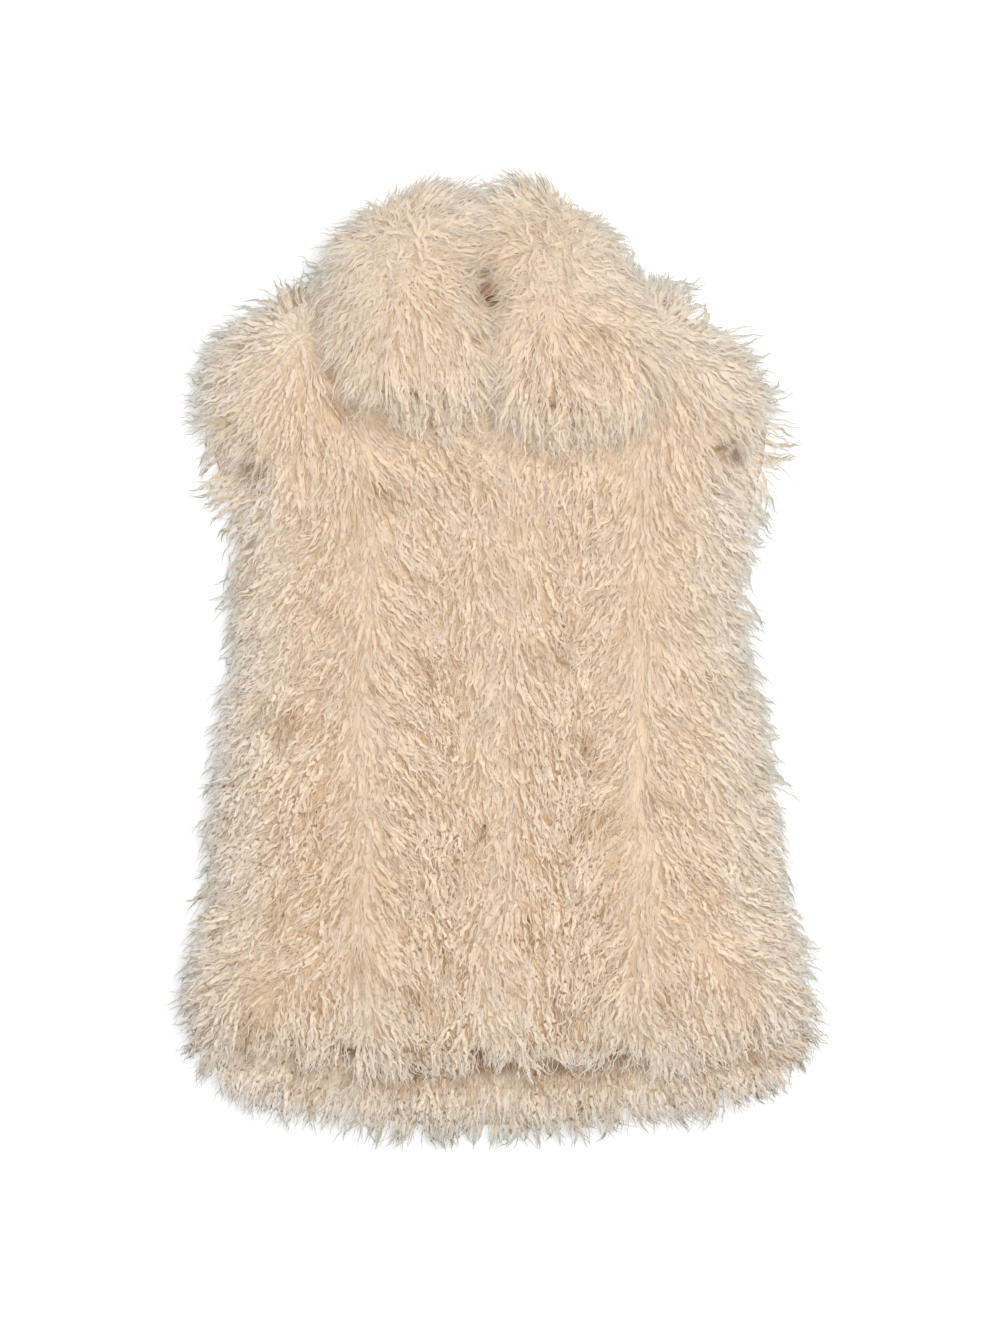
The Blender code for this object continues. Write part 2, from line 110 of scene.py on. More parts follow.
# Lean of the fronts' fur from straight down, in degrees: three partings with valleys between them
NapLean = namedtuple("NapLean", "x lean")
FRONT_NAP = [NapLean(*row) for row in (
    (-0.260, -52), (-0.200, -43), (-0.150, -35), (-0.114, -30), (-0.098, 38), (-0.070, 30), (-0.044, 14),
    (-0.030, -8), (-0.012, -20), (0.000, -16), (0.012, 18), (0.034, 22), (0.054, 8), (0.066, -10),
    (0.090, -28), (0.107, -38), (0.123, 32), (0.160, 38), (0.205, 44), (0.260, 52),
)]
PARTINGS = (-0.106, 0.0, 0.115)
PARTING_WIDTH = 0.014
PARTING_SWAY = 0.007
SOFT_PARTING = 0.020
PARTING_END = 0.2  # along Y, where the underfur's pale partings end
HEM_CALM = Span(-0.20, -0.30)  # along Y, the fronts' fur hangs straighter towards the hem
HEM_STRAIGHTENING = 0.35
SHOULDER = Span(0.08, 0.19)  # along Y, where the shoulder's fur takes over from the chest's
SHOULDER_SHARE = 0.55

# Places that the fur spreads out from
Whorl = namedtuple("Whorl", "x y radius strength")
FRONT_WHORLS = [Whorl(-0.177, -0.258, 0.050, 0.35), Whorl(0.190, -0.249, 0.050, 0.35)]
SHOULDER_WHORLS = [Whorl(-0.158, 0.256, 0.120, 2.0), Whorl(0.130, 0.262, 0.120, 2.0)]

# The back's fur fans out as it hangs, and turns outwards from a line across the shoulders
BACK_FAN = 2.6
BACK_SHOULDER = Span(0.10, 0.24)
BACK_TURN_Y = 0.20

# Crowns of the collar's halves: short ridges that their fur spreads out from, and how many crown widths round
# them the fur is soft or full and the underfur plain
Crown = namedtuple("Crown", "x y end_x end_y")
COLLAR_CROWNS = {
    "collar_right": Crown(-0.080, 0.330, -0.066, 0.312),
    "collar_left": Crown(0.044, 0.334, 0.038, 0.292),
}
CROWN_WIDTH = 0.015
CROWN_SCATTER = 2.4
SOFT_CROWN = 1.4
FULL_CROWN = 1.5
PLAIN_CROWN = 1.6

# How the collar's fur falls all over, hangs at its lower edge and lies behind the neck
COLLAR_FALL = 0.2
COLLAR_HANG = Span(0.27, 0.20)
COLLAR_HANG_PULL = 1.1
NeckBand = namedtuple("NeckBand", "x width low high")
NECK_BAND = NeckBand(-0.0086, 0.042, Span(0.322, 0.338), Span(0.362, 0.372))

# Openings between tufts, that few locks cross, in groups of rows: in the neck slit, at the armholes, at the
# collar's side and lower edge, below the front hem, and a few in the coat
GAPS = [Spot(*row) for row in (
    (-0.008, 0.291, 0.0080, 0.0074), (-0.005, 0.281, 0.0066, 0.0034), (-0.010, 0.305, 0.0046, 0.0042),
    (-0.200, 0.153, 0.0060, 0.0035), (-0.190, 0.147, 0.0050, 0.0025), (-0.190, 0.133, 0.0040, 0.0024, 0.5),
    (0.189, 0.164, 0.0036, 0.0075), (0.176, 0.168, 0.0070, 0.0024),
    (-0.134, 0.226, 0.0030, 0.0044, 0.9), (-0.143, 0.273, 0.0036, 0.0026, 0.5),
    (-0.114, 0.200, 0.0030, 0.0030, 0.5), (-0.066, 0.208, 0.0045, 0.0028, 0.5),
    (-0.043, 0.203, 0.0035, 0.0022, 0.5), (0.028, 0.243, 0.0020, 0.0045, 0.4),
    (0.043, 0.207, 0.0025, 0.0040, 0.5), (0.057, 0.196, 0.0030, 0.0045, 0.5),
    (0.110, 0.233, 0.0045, 0.0030, 0.4),
    (-0.166, -0.324, 0.0050, 0.0032), (-0.121, -0.314, 0.0115, 0.0058), (-0.016, -0.317, 0.0085, 0.0046),
    (-0.009, -0.331, 0.0075, 0.0042), (0.010, -0.327, 0.0115, 0.0056), (0.041, -0.326, 0.0095, 0.0054),
    (0.055, -0.334, 0.0105, 0.0056), (0.076, -0.336, 0.0100, 0.0056), (0.098, -0.322, 0.0125, 0.0066),
    (0.114, -0.326, 0.0080, 0.0048),
    (-0.194, 0.091, 0.0044, 0.0022, 0.5), (-0.142, 0.086, 0.0020, 0.0028, 0.5),
    (-0.078, -0.233, 0.0020, 0.0034, 0.5), (-0.120, -0.111, 0.0018, 0.0032, 0.5),
    (0.126, -0.136, 0.0018, 0.0028, 0.5), (-0.166, -0.188, 0.0026, 0.0016, 0.5),
)]
NECK_TRIM = Spot(0.129, 0.325, 0.0180, 0.0150)  # beside the left collar half, where no fur stands
STAND_PROUD = 0.008  # how far fur may stand out of the solids' box
# The underfur in and round an opening is painted dark, as painted shade
OPENING_REACH = 1.4  # of an opening's size, that the underfur is dark
SHORTEST_SHARE = 0.05  # of its length, that a lock keeps at an opening

# Fur above the floor, fur that falls across a seam, and how far in from the vest's outline its cooler, paler
# edge, painted light, and its greyer tips, painted shade, reach
FLOOR_GAP = 0.0020
FLOOR_SOFTNESS = 0.0012
SEAM_COVER = 0.010
SEAM_SLANT = Span(0.1, 0.8)
COOL_EDGE = Span(0.084, 0.010)
COOL_RIMS = {
    "front_right": 0.85, "front_left": 0.85, "collar_right": 0.40, "collar_left": 0.40, "back_panel": 0.0,
}
COOL_COLLAR = 0.6  # of the cool tint, that the collar takes
COOL_HEM = 0.42  # of it, that the fronts take towards the hem
COOL_ROOT = 0.2  # of it, that a lock's root takes
FRINGE_REACH = Span(0.036, 0.010)
TIP_SHADE_ALONG = Span(0.2, 0.8)
# The back's hem also takes the greyer tips' painted shade
HEM_TIP_SHADE = 0.8  # of the greyer tips, that the back's hem takes
WARM_SHADE = 0.6  # of the cool tint, that shade takes away
COLLAR_COVER = 0.016  # fur that lies this far in under the collar isn't grown

# Shade on a piece from the edge of what lies over it: its reach, its depth all over and at the edge, and
# where along Y it sets in
Shade = namedtuple("Shade", "over reach base depth below")
COLLAR_SHADE = Shade(("collar_right", "collar_left"), 0.030, 0.0, 0.18, COLLAR_HANG)
SHADES = {
    "back_panel": Shade(("front_right", "front_left"), 0.022, 0.05, 0.82, Span(-0.26, -0.30)),
    "front_right": COLLAR_SHADE, "front_left": COLLAR_SHADE,
}
DARK_IN_SHADE = 1.5  # shade at an edge is this, less a lock's own tone

# Places that lie in shade: the neck slit, the armholes and below the right collar half
HOLLOWS = [Spot(*row) for row in (
    (-0.0085, 0.292, 0.015, 0.036, 0.44), (-0.0075, 0.292, 0.009, 0.009, 0.95),
    (-0.0095, 0.305, 0.005, 0.005, 0.85), (-0.0045, 0.281, 0.006, 0.004, 0.75),
    (0.184, 0.166, 0.014, 0.012, 0.45), (-0.198, 0.151, 0.014, 0.008, 0.60),
    (-0.100, 0.190, 0.034, 0.012, 0.24), (-0.134, 0.226, 0.006, 0.007, 0.28),
)]

# How far single strands stand out: most at the hem, little on the collar, not at all on its crowns, less at
# the fluffy lower corners, left side and shoulders, and more at the collar's lower edge
Crispness = namedtuple("Crispness", "y share")
CRISPNESS = [Crispness(-0.23, 1.0), Crispness(-0.06, 0.86), Crispness(0.13, 0.56), Crispness(0.29, 0.34)]
SOFT_SPOTS = [Spot(*row) for row in (
    (-0.185, -0.245, 0.055, 0.060, 0.40), (0.195, -0.240, 0.060, 0.065, 0.50),
    (0.200, -0.020, 0.065, 0.190, 0.68), (-0.190, 0.200, 0.060, 0.060, 0.10),
    (0.175, 0.215, 0.060, 0.060, 0.75),
)]
CRISP_SPOTS = [Spot(-0.075, 0.212, 0.060, 0.028, 0.40), Spot(0.070, 0.205, 0.065, 0.034, 0.40)]
PARTING_SOFTENING = 0.5
SOFT_ROOTS = 0.26  # of a lock, that its dark root is shorter where the fur is soft
SOFT_UNDERFUR = 0.8

# Kinds of fur: rings of a lock, its width and crimp against the settings, how far it strays from its tuft,
# how much paler it is, how often it lies across an opening, and how high above the others it lies
Kind = namedtuple("Kind", "name rings width crimp stray paler crossing lift")
LOCKS = Kind("locks", 9, 1.0, 1.0, math.radians(10), 0.0, 0.06, 0.0)
WISPS = Kind("wisps", 8, 0.32, 1.2, math.radians(12), 0.2, 0.35, 0.0008)

# One kind of fur on one piece: how many locks, and their length against the settings on the flat, at the
# vest's outline and at a rim that lies over another piece
Coat = namedtuple("Coat", "node kind count length rim_length over_length seed")
FRONT_COATS = [
    Coat("front_right", LOCKS, 2550, 1.0, 0.79, 0.85, 11),
    Coat("front_right", WISPS, 3300, 0.94, 0.95, 0.95, 12),
    Coat("front_left", LOCKS, 2550, 1.0, 0.76, 0.85, 13),
    Coat("front_left", WISPS, 3300, 0.94, 0.92, 0.95, 14),
]
COLLAR_COATS = [
    Coat("collar_right", LOCKS, 1050, 1.0, 0.86, 1.10, 21),
    Coat("collar_right", WISPS, 1200, 0.96, 1.00, 1.15, 22),
    Coat("collar_left", LOCKS, 1200, 1.0, 0.76, 1.10, 23),
    Coat("collar_left", WISPS, 1350, 0.96, 0.90, 1.15, 24),
]
BACK_COATS = [
    Coat("back_panel", LOCKS, 1500, 1.0, 0.76, 0.76, 31),
    Coat("back_panel", WISPS, 1600, 1.0, 0.90, 0.90, 32),
]

# How densely fur grows, against the flat of a piece
DENSE_EDGE = Span(0.0, 0.012)
FRONT_EDGE_DENSITY = 0.8
PARTING_DENSITY = 1.1
COVERED_SHARE = 0.98  # of the fronts' fur, that isn't grown under the collar
COLLAR_EDGE_DENSITY = 0.5
CROWN_DENSITY = 1.6
BACK_RIM_SHOWN = Span(0.003, 0.028)
BACK_HEM_SHOWN = Span(-0.265, -0.300)
BACK_HEM_DENSITY = 1.6
BEHIND_NECK_Y = 0.24
BEHIND_NECK_HALF = 0.11
LEAST_DENSITY = 0.01

# Slow waves that turn the nap this way and that, and shifts that give each use of them a pattern of its own
Ruffle = namedtuple("Ruffle", "wavelength direction offset")
RUFFLES = [Ruffle(0.105, 20, 0.3), Ruffle(0.074, 105, 1.9), Ruffle(0.058, 160, 4.1), Ruffle(0.047, 60, 2.7)]
TURN_RUFFLE = 1.0
LENGTH_RUFFLE = 2.3
STAND_RUFFLE = 3.7
TONE_RUFFLE = 5.1
SWAY_RUFFLE = 7.3
RUFFLE_TURN = math.radians(15)
RUFFLE_STAND = math.radians(20)

# How unlike each other the locks are: angles in radians, lengths and widths as shares
TUFT_TURN = math.radians(11)
LOCK_BEND = math.radians(12)
LOCK_PHASE = 0.12
NAP_SCATTER = 0.20
TONE_OF_TUFT = 0.48
TONE_OF_LOCK = 0.26
TONE_OF_COAT = 0.44
TONE_SWING = 0.8
SOFT_TONES = 0.15  # of a lock's own tone, that soft fur keeps, and what crispness adds to it
CRISP_TONES = 1.1
LENGTH_MEAN = 0.95
LENGTH_OF_TUFT = 0.20
LENGTH_SPREAD = 0.14
LENGTH_SWING = 0.20
WIDTH_SPREAD = 0.28
CRIMP_SPREAD = 0.30
STAND_SPREAD = math.radians(9)

# How locks change at a rim, on a crown and at the back's hem
RIM_SLOPE = Span(0.92, 0.35)  # upward part of a skin's normal, over which its flat becomes a rim
RIM_REACH = 0.035
RIM_TURN = 0.42
SHOULDER_RIM_TURN = 1.4
RIM_DROOP = 0.30
RIM_SHORTENING = 0.85
CROWN_SHORTENING = 0.45
HEM_SHORTENING = 0.20
HEM_CRIMP = 0.4
EDGE_GATHER = 1.5
MOST_GATHER = 0.95
HEM_LENGTH_SPREAD = 0.22
BACK_HEM = Span(-0.335, -0.365)
OVER_PIECE = Span(0.030, 0.055)  # from the vest's outline, beyond which a rim lies over another piece

# Section and run of a lock: three corners in degrees, and spans and powers of the way along it
SIDES = 3
LOCK_CORNERS = (30.0, 150.0, 270.0)
LOCK_BREADTH = 1.15
RING_SPACING = 0.85
ROOT_WIDTH = 0.25
LOCK_SWELL = Span(0.0, 0.30)
LOCK_TAPER = Span(0.30, 1.02)
TAPER_POWER = 0.8
SETTLED_AT = 0.9
CRIMP_START = Span(0.05, 0.45)
CRIMP_LIFT = 0.5
WISP_LIFT = Span(0.0, 0.30)
ROOT_DEPTH = 0.0012
GATHER_LATE = 1.4
COAT_UPWARD = 2.4

# Strands drawn along each lock, in a UV map with centimetres along and corners across: how far apart locks
# lie in it, how many strands cross a lock, their wave and its swing, how they change, and the flecks' changes
UV_LENGTH = 100.0
UV_APART = 7.0
UV_TIP = 0.5
STRANDS_ACROSS = 2.5
STRAND_WAVE = 0.8
STRAND_SWING = 0.32
STRAND_STAGGER = 14.0
STRAND_CHANGE = 0.9
STRAND_DETAIL = 1.5
FLECK_ACROSS = 0.35
FLECK_ALONG = 2.2
PATCH_SCALE = 100.0  # patches of the coat that are a little darker or paler
PATCH_DETAIL = 2.0

# Streaks drawn on the underfur, in three directions that are mixed by the nap: degrees from straight down
STREAK_LEANS = (-60.0, 0.0, 60.0)
STREAK_SCALE = 640.0
STREAK_STRETCH = 4.5
STREAK_DETAIL = 2.0
STREAK_DISTORTION = 0.8
STREAK_POWER = 4

# Where along a lock its colours lie, from a dark root that is partly its own colour and partly painted shade
# deep in the coat, and what they are multiplied by, as stops of a ramp, a grey as one number: by its tone, in
# patches of the coat, along its strands as painted shade between them, over their waves as painted glints
# with painted shade between them, and in flecks. The last two values stand for strands and waves in soft fur
LOCK_STOPS = (0.0, 0.26, 0.72, 1.0)
TONES = [(0.0, (0.46, 0.37, 0.29)), (0.20, (0.84, 0.81, 0.77)), (0.38, (0.955, 0.945, 0.935)),
         (1.0, (0.945, 0.96, 1.005))]
PATCHES = [(0.36, (0.86, 0.825, 0.78)), (0.50, 1.015), (0.66, 1.045)]
STRANDS = [(0.28, (0.60, 0.525, 0.45)), (0.45, (0.99, 0.973, 0.955)), (0.64, 1.01)]
GLINTS = [(0.0, 0.79), (0.34, 0.985), (1.0, 1.0)]
FLECKS = [(0.275, (0.38, 0.285, 0.21)), (0.385, 1.0)]
SOFT_STRANDS = (0.85, 0.826, 0.793)
SOFT_GLINTS = 0.94

# Where along the underfur's streaks its two colours lie, pale and deep, and the streaks of its cooler edge,
# which is painted light
PALE_STREAKS = (0.34, 0.60)
DEEP_STREAKS = (0.36, 0.64)
EDGE_STREAKS = [(0.36, (0.5, 0.43, 0.35)), (0.64, (0.85, 0.82, 0.78))]

# Bump and finish of each surface
Bump = namedtuple("Bump", "strength distance")
LOCK_BUMP = Bump(0.40, 0.0006)
UNDERFUR_BUMP = Bump(0.8, 0.002)
LOCK_FINISH = {
    "Roughness": 0.62, "Specular IOR Level": 0.25, "Subsurface Weight": 0.35,
    "Subsurface Radius": (1.0, 0.75, 0.5), "Subsurface Scale": 0.004,
}
UNDERFUR_FINISH = {"Roughness": 0.85, "Specular IOR Level": 0.15}

# Sockets of a colour mix, by number because their names repeat
MIX_INPUTS = (0, 6, 7)
MIX_RESULT = 2

# Studio: the photograph's height in pixels, the length that one of them shows, floor and key light, and how
# far up the vest the camera's frame is measured
FRAME_HEIGHT_PX = 1334
PIXEL = 0.0008
FLOOR_SIZE = 8.0
FLOOR_ROUGHNESS = 0.8
KEY_SIZE = 1.5
KEY_PLACE = (0.50, 0.45, 2.1)
FRAME_SHARE = 0.4

# What is laid, and the locks of each piece, which its wisps then follow
Laid = namedtuple("Laid", "skin piece points normals edge seam")
LAID = {}
Roots = namedtuple("Roots", "place normal edge seam rim outline")
Habits = namedtuple("Habits", "place turn bend phase tone reach")
GROWN = {}

# Kinds of number in the settings
LENGTH = {"unit": "LENGTH"}
ANGLE = {"unit": "ROTATION"}
SHARE = {"subtype": "FACTOR", "min": 0.0, "max": 1.0}


def number(name, about, default, **kind):
    return FloatProperty(name=name, description=about, default=default, **kind)


def colour(name, about, *default):
    return FloatVectorProperty(name=name, description=about, default=default, subtype="COLOR")


class FurVestFur(bpy.types.PropertyGroup):
    """Sizes of the fur that a user would change."""
    pile_depth: number("Pile depth", "Fur above the underfur, up to the solid's surface", 0.009, **LENGTH)
    lock_length: number("Lock length", "Length of a full lock", 0.042, **LENGTH)
    lock_width: number("Lock width", "Width of a full lock", 0.0028, **LENGTH)
    lock_flatness: number("Lock flatness", "Depth of a lock against its width", 0.42, **SHARE | {"min": 0.1})
    softness: number("Softness", "How far a lock is shaded as part of the whole coat", 0.78, **SHARE)
    crimp_length: number("Crimp length", "Length of one wave of a lock", 0.0115, **LENGTH)
    crimp_width: number("Crimp width", "How far a wave swings to each side", 0.0010, **LENGTH)
    tuft_size: IntProperty(name="Tuft size", description="Locks that lean together", default=5, min=1)
    tuft_pull: number("Tuft pull", "How far the tips of a tuft's locks draw together", 0.36, **SHARE)
    wisp_pull: number("Wisp pull", "How far the tips of wisps draw in to their lock", 0.45, **SHARE)
    stand: number("Stand", "Rise of a lock at its root on the flat", math.radians(29), **ANGLE)
    settle: number("Settle", "Rise of a lock at its tip on the flat", math.radians(-9), **ANGLE)
    edge_stand: number("Edge stand", "Rise of a lock at its root on a rim", math.radians(62), **ANGLE)
    edge_settle: number("Edge settle", "Rise of a lock at its tip on a rim", math.radians(24), **ANGLE)


class FurVestColours(bpy.types.PropertyGroup):
    """Colours of the fur and the studio."""
    # The dark root is partly the fur's own colour and partly painted shade deep in the coat
    root: colour("Root", "Fur near the skin", 0.50, 0.295, 0.14)
    middle: colour("Middle", "Body of a lock", 0.972, 0.733, 0.523)
    tip: colour("Tip", "Tip of a lock", 0.95, 0.767, 0.59)
    # The edge colour is a paler, cooler tint, painted light; the next colour is the greyer tips, painted
    # shade
    edge: colour("Edge", "Fur near the vest's outline", 0.95, 0.88, 0.78)
    shaded_tips: colour("Frost", "Tips at the vest's outline", 0.62, 0.65, 0.585)
    shade: colour("Shade", "What is left of the colour below an edge", 0.41, 0.30, 0.20)
    underfur: colour("Underfur", "Dense fur at the skin", 0.76, 0.58, 0.41)
    # The gap colour is partly the underfur's own darker colour and partly painted shade between crisp locks
    gap: colour("Gap", "Underfur in the gaps between locks", 0.46, 0.28, 0.14)
    opening: colour("Opening", "Shaded underfur in an opening", 0.20, 0.105, 0.055)
    plain: colour("Plain", "Smooth fur at a parting or crown", 0.79, 0.625, 0.455)
    floor: colour("Floor", "Studio floor", 0.95, 0.95, 0.95)


class FurVestStage(bpy.types.PropertyGroup):
    """Studio light and camera."""
    lens: number("Lens", "Focal length in millimetres", 85.0, subtype="DISTANCE_CAMERA")
    key_power: number("Key light", "Power of the large soft light", 29.0, unit="POWER")
    fill: number("Fill light", "Strength of the shadowless light from straight above", 1.20)
    sky: number("Sky light", "Strength of the light from all round", 0.40)
    view_x: number("View X", "What the camera looks at", 0.0018, **LENGTH)
    view_y: number("View Y", "What the camera looks at", -0.0074, **LENGTH)


def piece_name(node, ending):
    """Name of a solid's skin, locks or wisps."""
    return f"{node.removesuffix('_panel')}_{ending}"


def smooth_step(start, end, value):
    share = np.clip((value - start) / (end - start), 0.0, 1.0)
    return share * share * (3.0 - 2.0 * share)


def unit(vectors):
    return vectors / np.maximum(np.linalg.norm(vectors, axis=-1, keepdims=True), 1e-9)


@cache
def solid_arrays(node):
    """Points and triangles of a CAD solid."""
    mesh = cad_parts[node].data
    mesh.calc_loop_triangles()
    points = np.empty(len(mesh.vertices) * 3)
    mesh.vertices.foreach_get("co", points)
    corners = np.empty(len(mesh.loop_triangles) * 3, dtype=np.int32)
    mesh.loop_triangles.foreach_get("vertices", corners)
    return points.reshape(-1, 3), corners.reshape(-1, 3)


@cache
def solid_tree(node):
    points, corners = solid_arrays(node)
    return BVHTree.FromPolygons(points.tolist(), corners.tolist())


def to_plan(node, points):
    """Across and along a piece: x and y on the body, distance and turn round the neck slit on the collar."""
    if node not in COLLAR_SIDES:
        return points[:, 0], points[:, 1]
    x = COLLAR_SIDES[node] * (points[:, 0] - FAN_CENTRE[0])
    y = points[:, 1] - FAN_CENTRE[1]
    return np.hypot(x, y), FAN_RADIUS * np.arctan2(x, y)


def from_plan(node, across, along):
    """x and y of places across and along a piece."""
    if node not in COLLAR_SIDES:
        return across, along
    turn = along / FAN_RADIUS
    return (FAN_CENTRE[0] + COLLAR_SIDES[node] * across * np.sin(turn),
            FAN_CENTRE[1] + across * np.cos(turn))


def averaged(values, count):
    padded = np.pad(values, count // 2, mode="edge")
    return np.convolve(padded, np.ones(count) / count, mode="valid")


def reach(lengths, heights, corners, rows):
    """Lowest and highest length of a solid's outline where each row cuts it."""
    edges = np.concatenate([corners[:, [0, 1]], corners[:, [1, 2]], corners[:, [2, 0]]])
    start, end = edges[:, 0], edges[:, 1]
    low, high = [], []
    for row in rows:
        cut = (heights[start] - row) * (heights[end] - row) < 0
        a, b = start[cut], end[cut]
        share = (row - heights[a]) / (heights[b] - heights[a])
        places = lengths[a] + share * (lengths[b] - lengths[a])
        low.append(places.min(initial=np.inf))
        high.append(places.max(initial=-np.inf))
    return np.array(low), np.array(high)


def side_line(rows, fine_rows, outline, inset, has_rim):
    """Where a skin starts at each row: an inset in from a rim's outline, or just in from a seam."""
    if not has_rim:
        return np.interp(rows, fine_rows, outline) + SEAM_INSET
    outline = averaged(outline, REACH_SMOOTHING)
    return np.max([np.interp(rows + share * inset, fine_rows, outline) + inset * math.sqrt(1.0 - share ** 2)
                   for share in CUT_SHARES], axis=0)


def shares(count, rim_first, rim_last):
    """Along one side of a skin's grid: each point's share of the way across, and of its rim's height."""
    first = RIM_HEIGHTS if rim_first else []
    last = RIM_HEIGHTS[::-1] if rim_last else []
    place = [0.0] * len(first) + list(np.linspace(0.0, 1.0, count)) + [1.0] * len(last)
    return np.array(place), np.array(first + [1.0] * count + last)


def solid_height(tree, x, y, middle_x, from_z, way):
    """Height of a solid's surface at x and y, or a little nearer its row's middle between tufts."""
    for share in INWARD_SHARES:
        start = Vector((x + (middle_x - x) * share, y, from_z))
        found = tree.ray_cast(start, Vector((0.0, 0.0, way)))[0]
        if found is not None:
            return found.z
    raise RuntimeError(f"no solid above or below {x:.4f}, {y:.4f}")


def loft(skin, fur):
    """Grids of a skin's outer side and underside, and how far each point is from a rim and from a seam."""
    points, corners = solid_arrays(skin.node)
    tree = solid_tree(skin.node)
    across, along = to_plan(skin.node, points)
    rims = skin.rims
    low = along.min() + (skin.inset if rims.first else BEHIND_NECK_INSET)
    high = along.max() - (skin.inset if rims.last else SEAM_INSET)
    even_shares = np.linspace(0.0, 1.0, skin.along)
    rows = low + (high - low) * even_shares
    fine_rows = np.linspace(along.min() + OUTLINE_STEP, along.max() - OUTLINE_STEP, OUTLINE_ROWS)
    first, last = reach(across, along, corners, fine_rows)
    start_inset = NECK_INSET if skin.node in COLLAR_SIDES else skin.inset
    start = side_line(rows, fine_rows, first, start_inset, rims.start)
    end = -side_line(rows, fine_rows, -last, skin.inset, rims.end)

    def lay(place_along, place_across):
        start_at = np.interp(place_along, even_shares, start)[:, None]
        end_at = np.interp(place_along, even_shares, end)[:, None]
        p = start_at + (end_at - start_at) * place_across[None, :]
        q = np.repeat((low + (high - low) * place_along)[:, None], p.shape[1], axis=1)
        return from_plan(skin.node, p, q), end_at - start_at

    def surface(x, y, from_z, way):
        middle = x[:, x.shape[1] // 2]
        found = [solid_height(tree, x[at], y[at], middle[at[0]], from_z, way) for at in np.ndindex(x.shape)]
        return np.array(found).reshape(x.shape)

    def slab(x, y):
        top = surface(x, y, points[:, 2].max() + SOUNDING_GAP, -1.0) - fur.pile_depth
        bottom = surface(x, y, points[:, 2].min() - SOUNDING_GAP, 1.0)
        top = np.maximum(top, bottom + THINNEST_SKIN)
        return top, np.maximum(bottom, top - skin.thickest)

    place_across, rise_across = shares(skin.across, rims.start, rims.end)
    place_along, rise_along = shares(skin.along, rims.first, rims.last)
    (x, y), width = lay(place_along, place_across)
    top, bottom = slab(x, y)
    rise = np.minimum(rise_along[:, None], rise_across[None, :])
    outer = np.stack([x, y, bottom + (top - bottom) * rise], axis=-1)
    for _ in range(SKIN_SMOOTHING):
        around = (outer[:-2, 1:-1] + outer[2:, 1:-1] + outer[1:-1, :-2] + outer[1:-1, 2:]) / 4.0
        outer[1:-1, 1:-1] = 0.5 * outer[1:-1, 1:-1] + 0.5 * around
    (x, y), _ = lay(np.linspace(0.0, 1.0, len(place_along)), np.linspace(0.0, 1.0, len(place_across)))
    under = np.stack([x, y, slab(x, y)[1]], axis=-1)

    gaps = (place_across[None, :] * width, (1.0 - place_across)[None, :] * width,
            place_along[:, None] * (high - low), (1.0 - place_along)[:, None] * (high - low))
    edge, seam = np.ones(rise.shape), np.ones(rise.shape)
    for has_rim, gap in zip(rims, gaps):
        nearest_yet = edge if has_rim else seam
        np.minimum(nearest_yet, gap, out=nearest_yet)
    return outer, under, edge, seam


def off_crown(crown, points):
    """From the nearest place on a crown's ridge to each point."""
    start = np.array([crown.x, crown.y])
    ridge = np.array([crown.end_x, crown.end_y]) - start
    share = np.clip((points[:, :2] - start) @ ridge / (ridge @ ridge), 0.0, 1.0)
    return points[:, :2] - start - share[:, None] * ridge


def near_crowns(points, widths):
    """How near points lie to a crown, from 0 to 1, within some crown widths."""
    away = [(off_crown(crown, points) ** 2).sum(axis=1) for crown in COLLAR_CROWNS.values()]
    return np.exp(-np.min(away, axis=0) / (widths * CROWN_WIDTH) ** 2)


def into(spot, points):
    """How far into a spot points lie: below 1 inside it."""
    return ((points[..., 0] - spot.x) / spot.wide) ** 2 + ((points[..., 1] - spot.y) / spot.tall) ** 2


def depth_in(spots, points, spread_out=1.0):
    """How deep points lie in the deepest of some spots."""
    return np.max([spot.depth * np.exp(-into(spot, points) / spread_out ** 2) for spot in spots], axis=0)


def ruffle(points, shift):
    """Slow change over the coat, from -1 to 1; another shift gives another pattern."""
    turn = np.zeros(len(points))
    for wave in RUFFLES:
        way = np.radians(wave.direction)
        place = points[:, 0] * np.cos(way) + points[:, 1] * np.sin(way)
        turn += np.sin(2.0 * np.pi * place / wave.wavelength + wave.offset * shift)
    return turn / len(RUFFLES)


def swayed(points):
    """Place across the fronts, as seen from partings that wander a little."""
    return points[:, 0] + PARTING_SWAY * ruffle(points, SWAY_RUFFLE)


def near_partings(points, width):
    """How near points lie to a parting, from 0 to 1."""
    return np.max([np.exp(-((swayed(points) - parting) / width) ** 2) for parting in PARTINGS], axis=0)


def near_rim(edge):
    """How near points lie to their piece's rim, from 0 to 1."""
    return 1.0 - smooth_step(0.0, RIM_REACH, edge)


def crispness(points):
    """How far single strands stand out, from 0 to 1."""
    crisp = np.interp(points[:, 1], *zip(*CRISPNESS))
    crisp = crisp + (1.0 - crisp) * depth_in(CRISP_SPOTS, points)
    crisp = crisp * (1.0 - PARTING_SOFTENING * near_partings(points, SOFT_PARTING))
    return crisp * (1.0 - near_crowns(points, SOFT_CROWN)) * (1.0 - depth_in(SOFT_SPOTS, points))


def plain_share(points):
    """How far a skin's underfur is pale and smooth: most where the fur parts, least between crisp locks."""
    share = np.maximum(near_crowns(points, PLAIN_CROWN), SOFT_UNDERFUR * (1.0 - crispness(points)))
    return np.maximum(share, near_partings(points, PARTING_WIDTH) * (points[:, 1] < PARTING_END))


def streak_shares(heading):
    """Shares of the underfur's three streak directions that make up each heading."""
    lean = np.arctan2(heading[:, 0], -heading[:, 1])
    parts = np.stack([np.cos(lean - np.radians(turn)) ** STREAK_POWER for turn in STREAK_LEANS], axis=1)
    return parts / parts.sum(axis=1, keepdims=True)


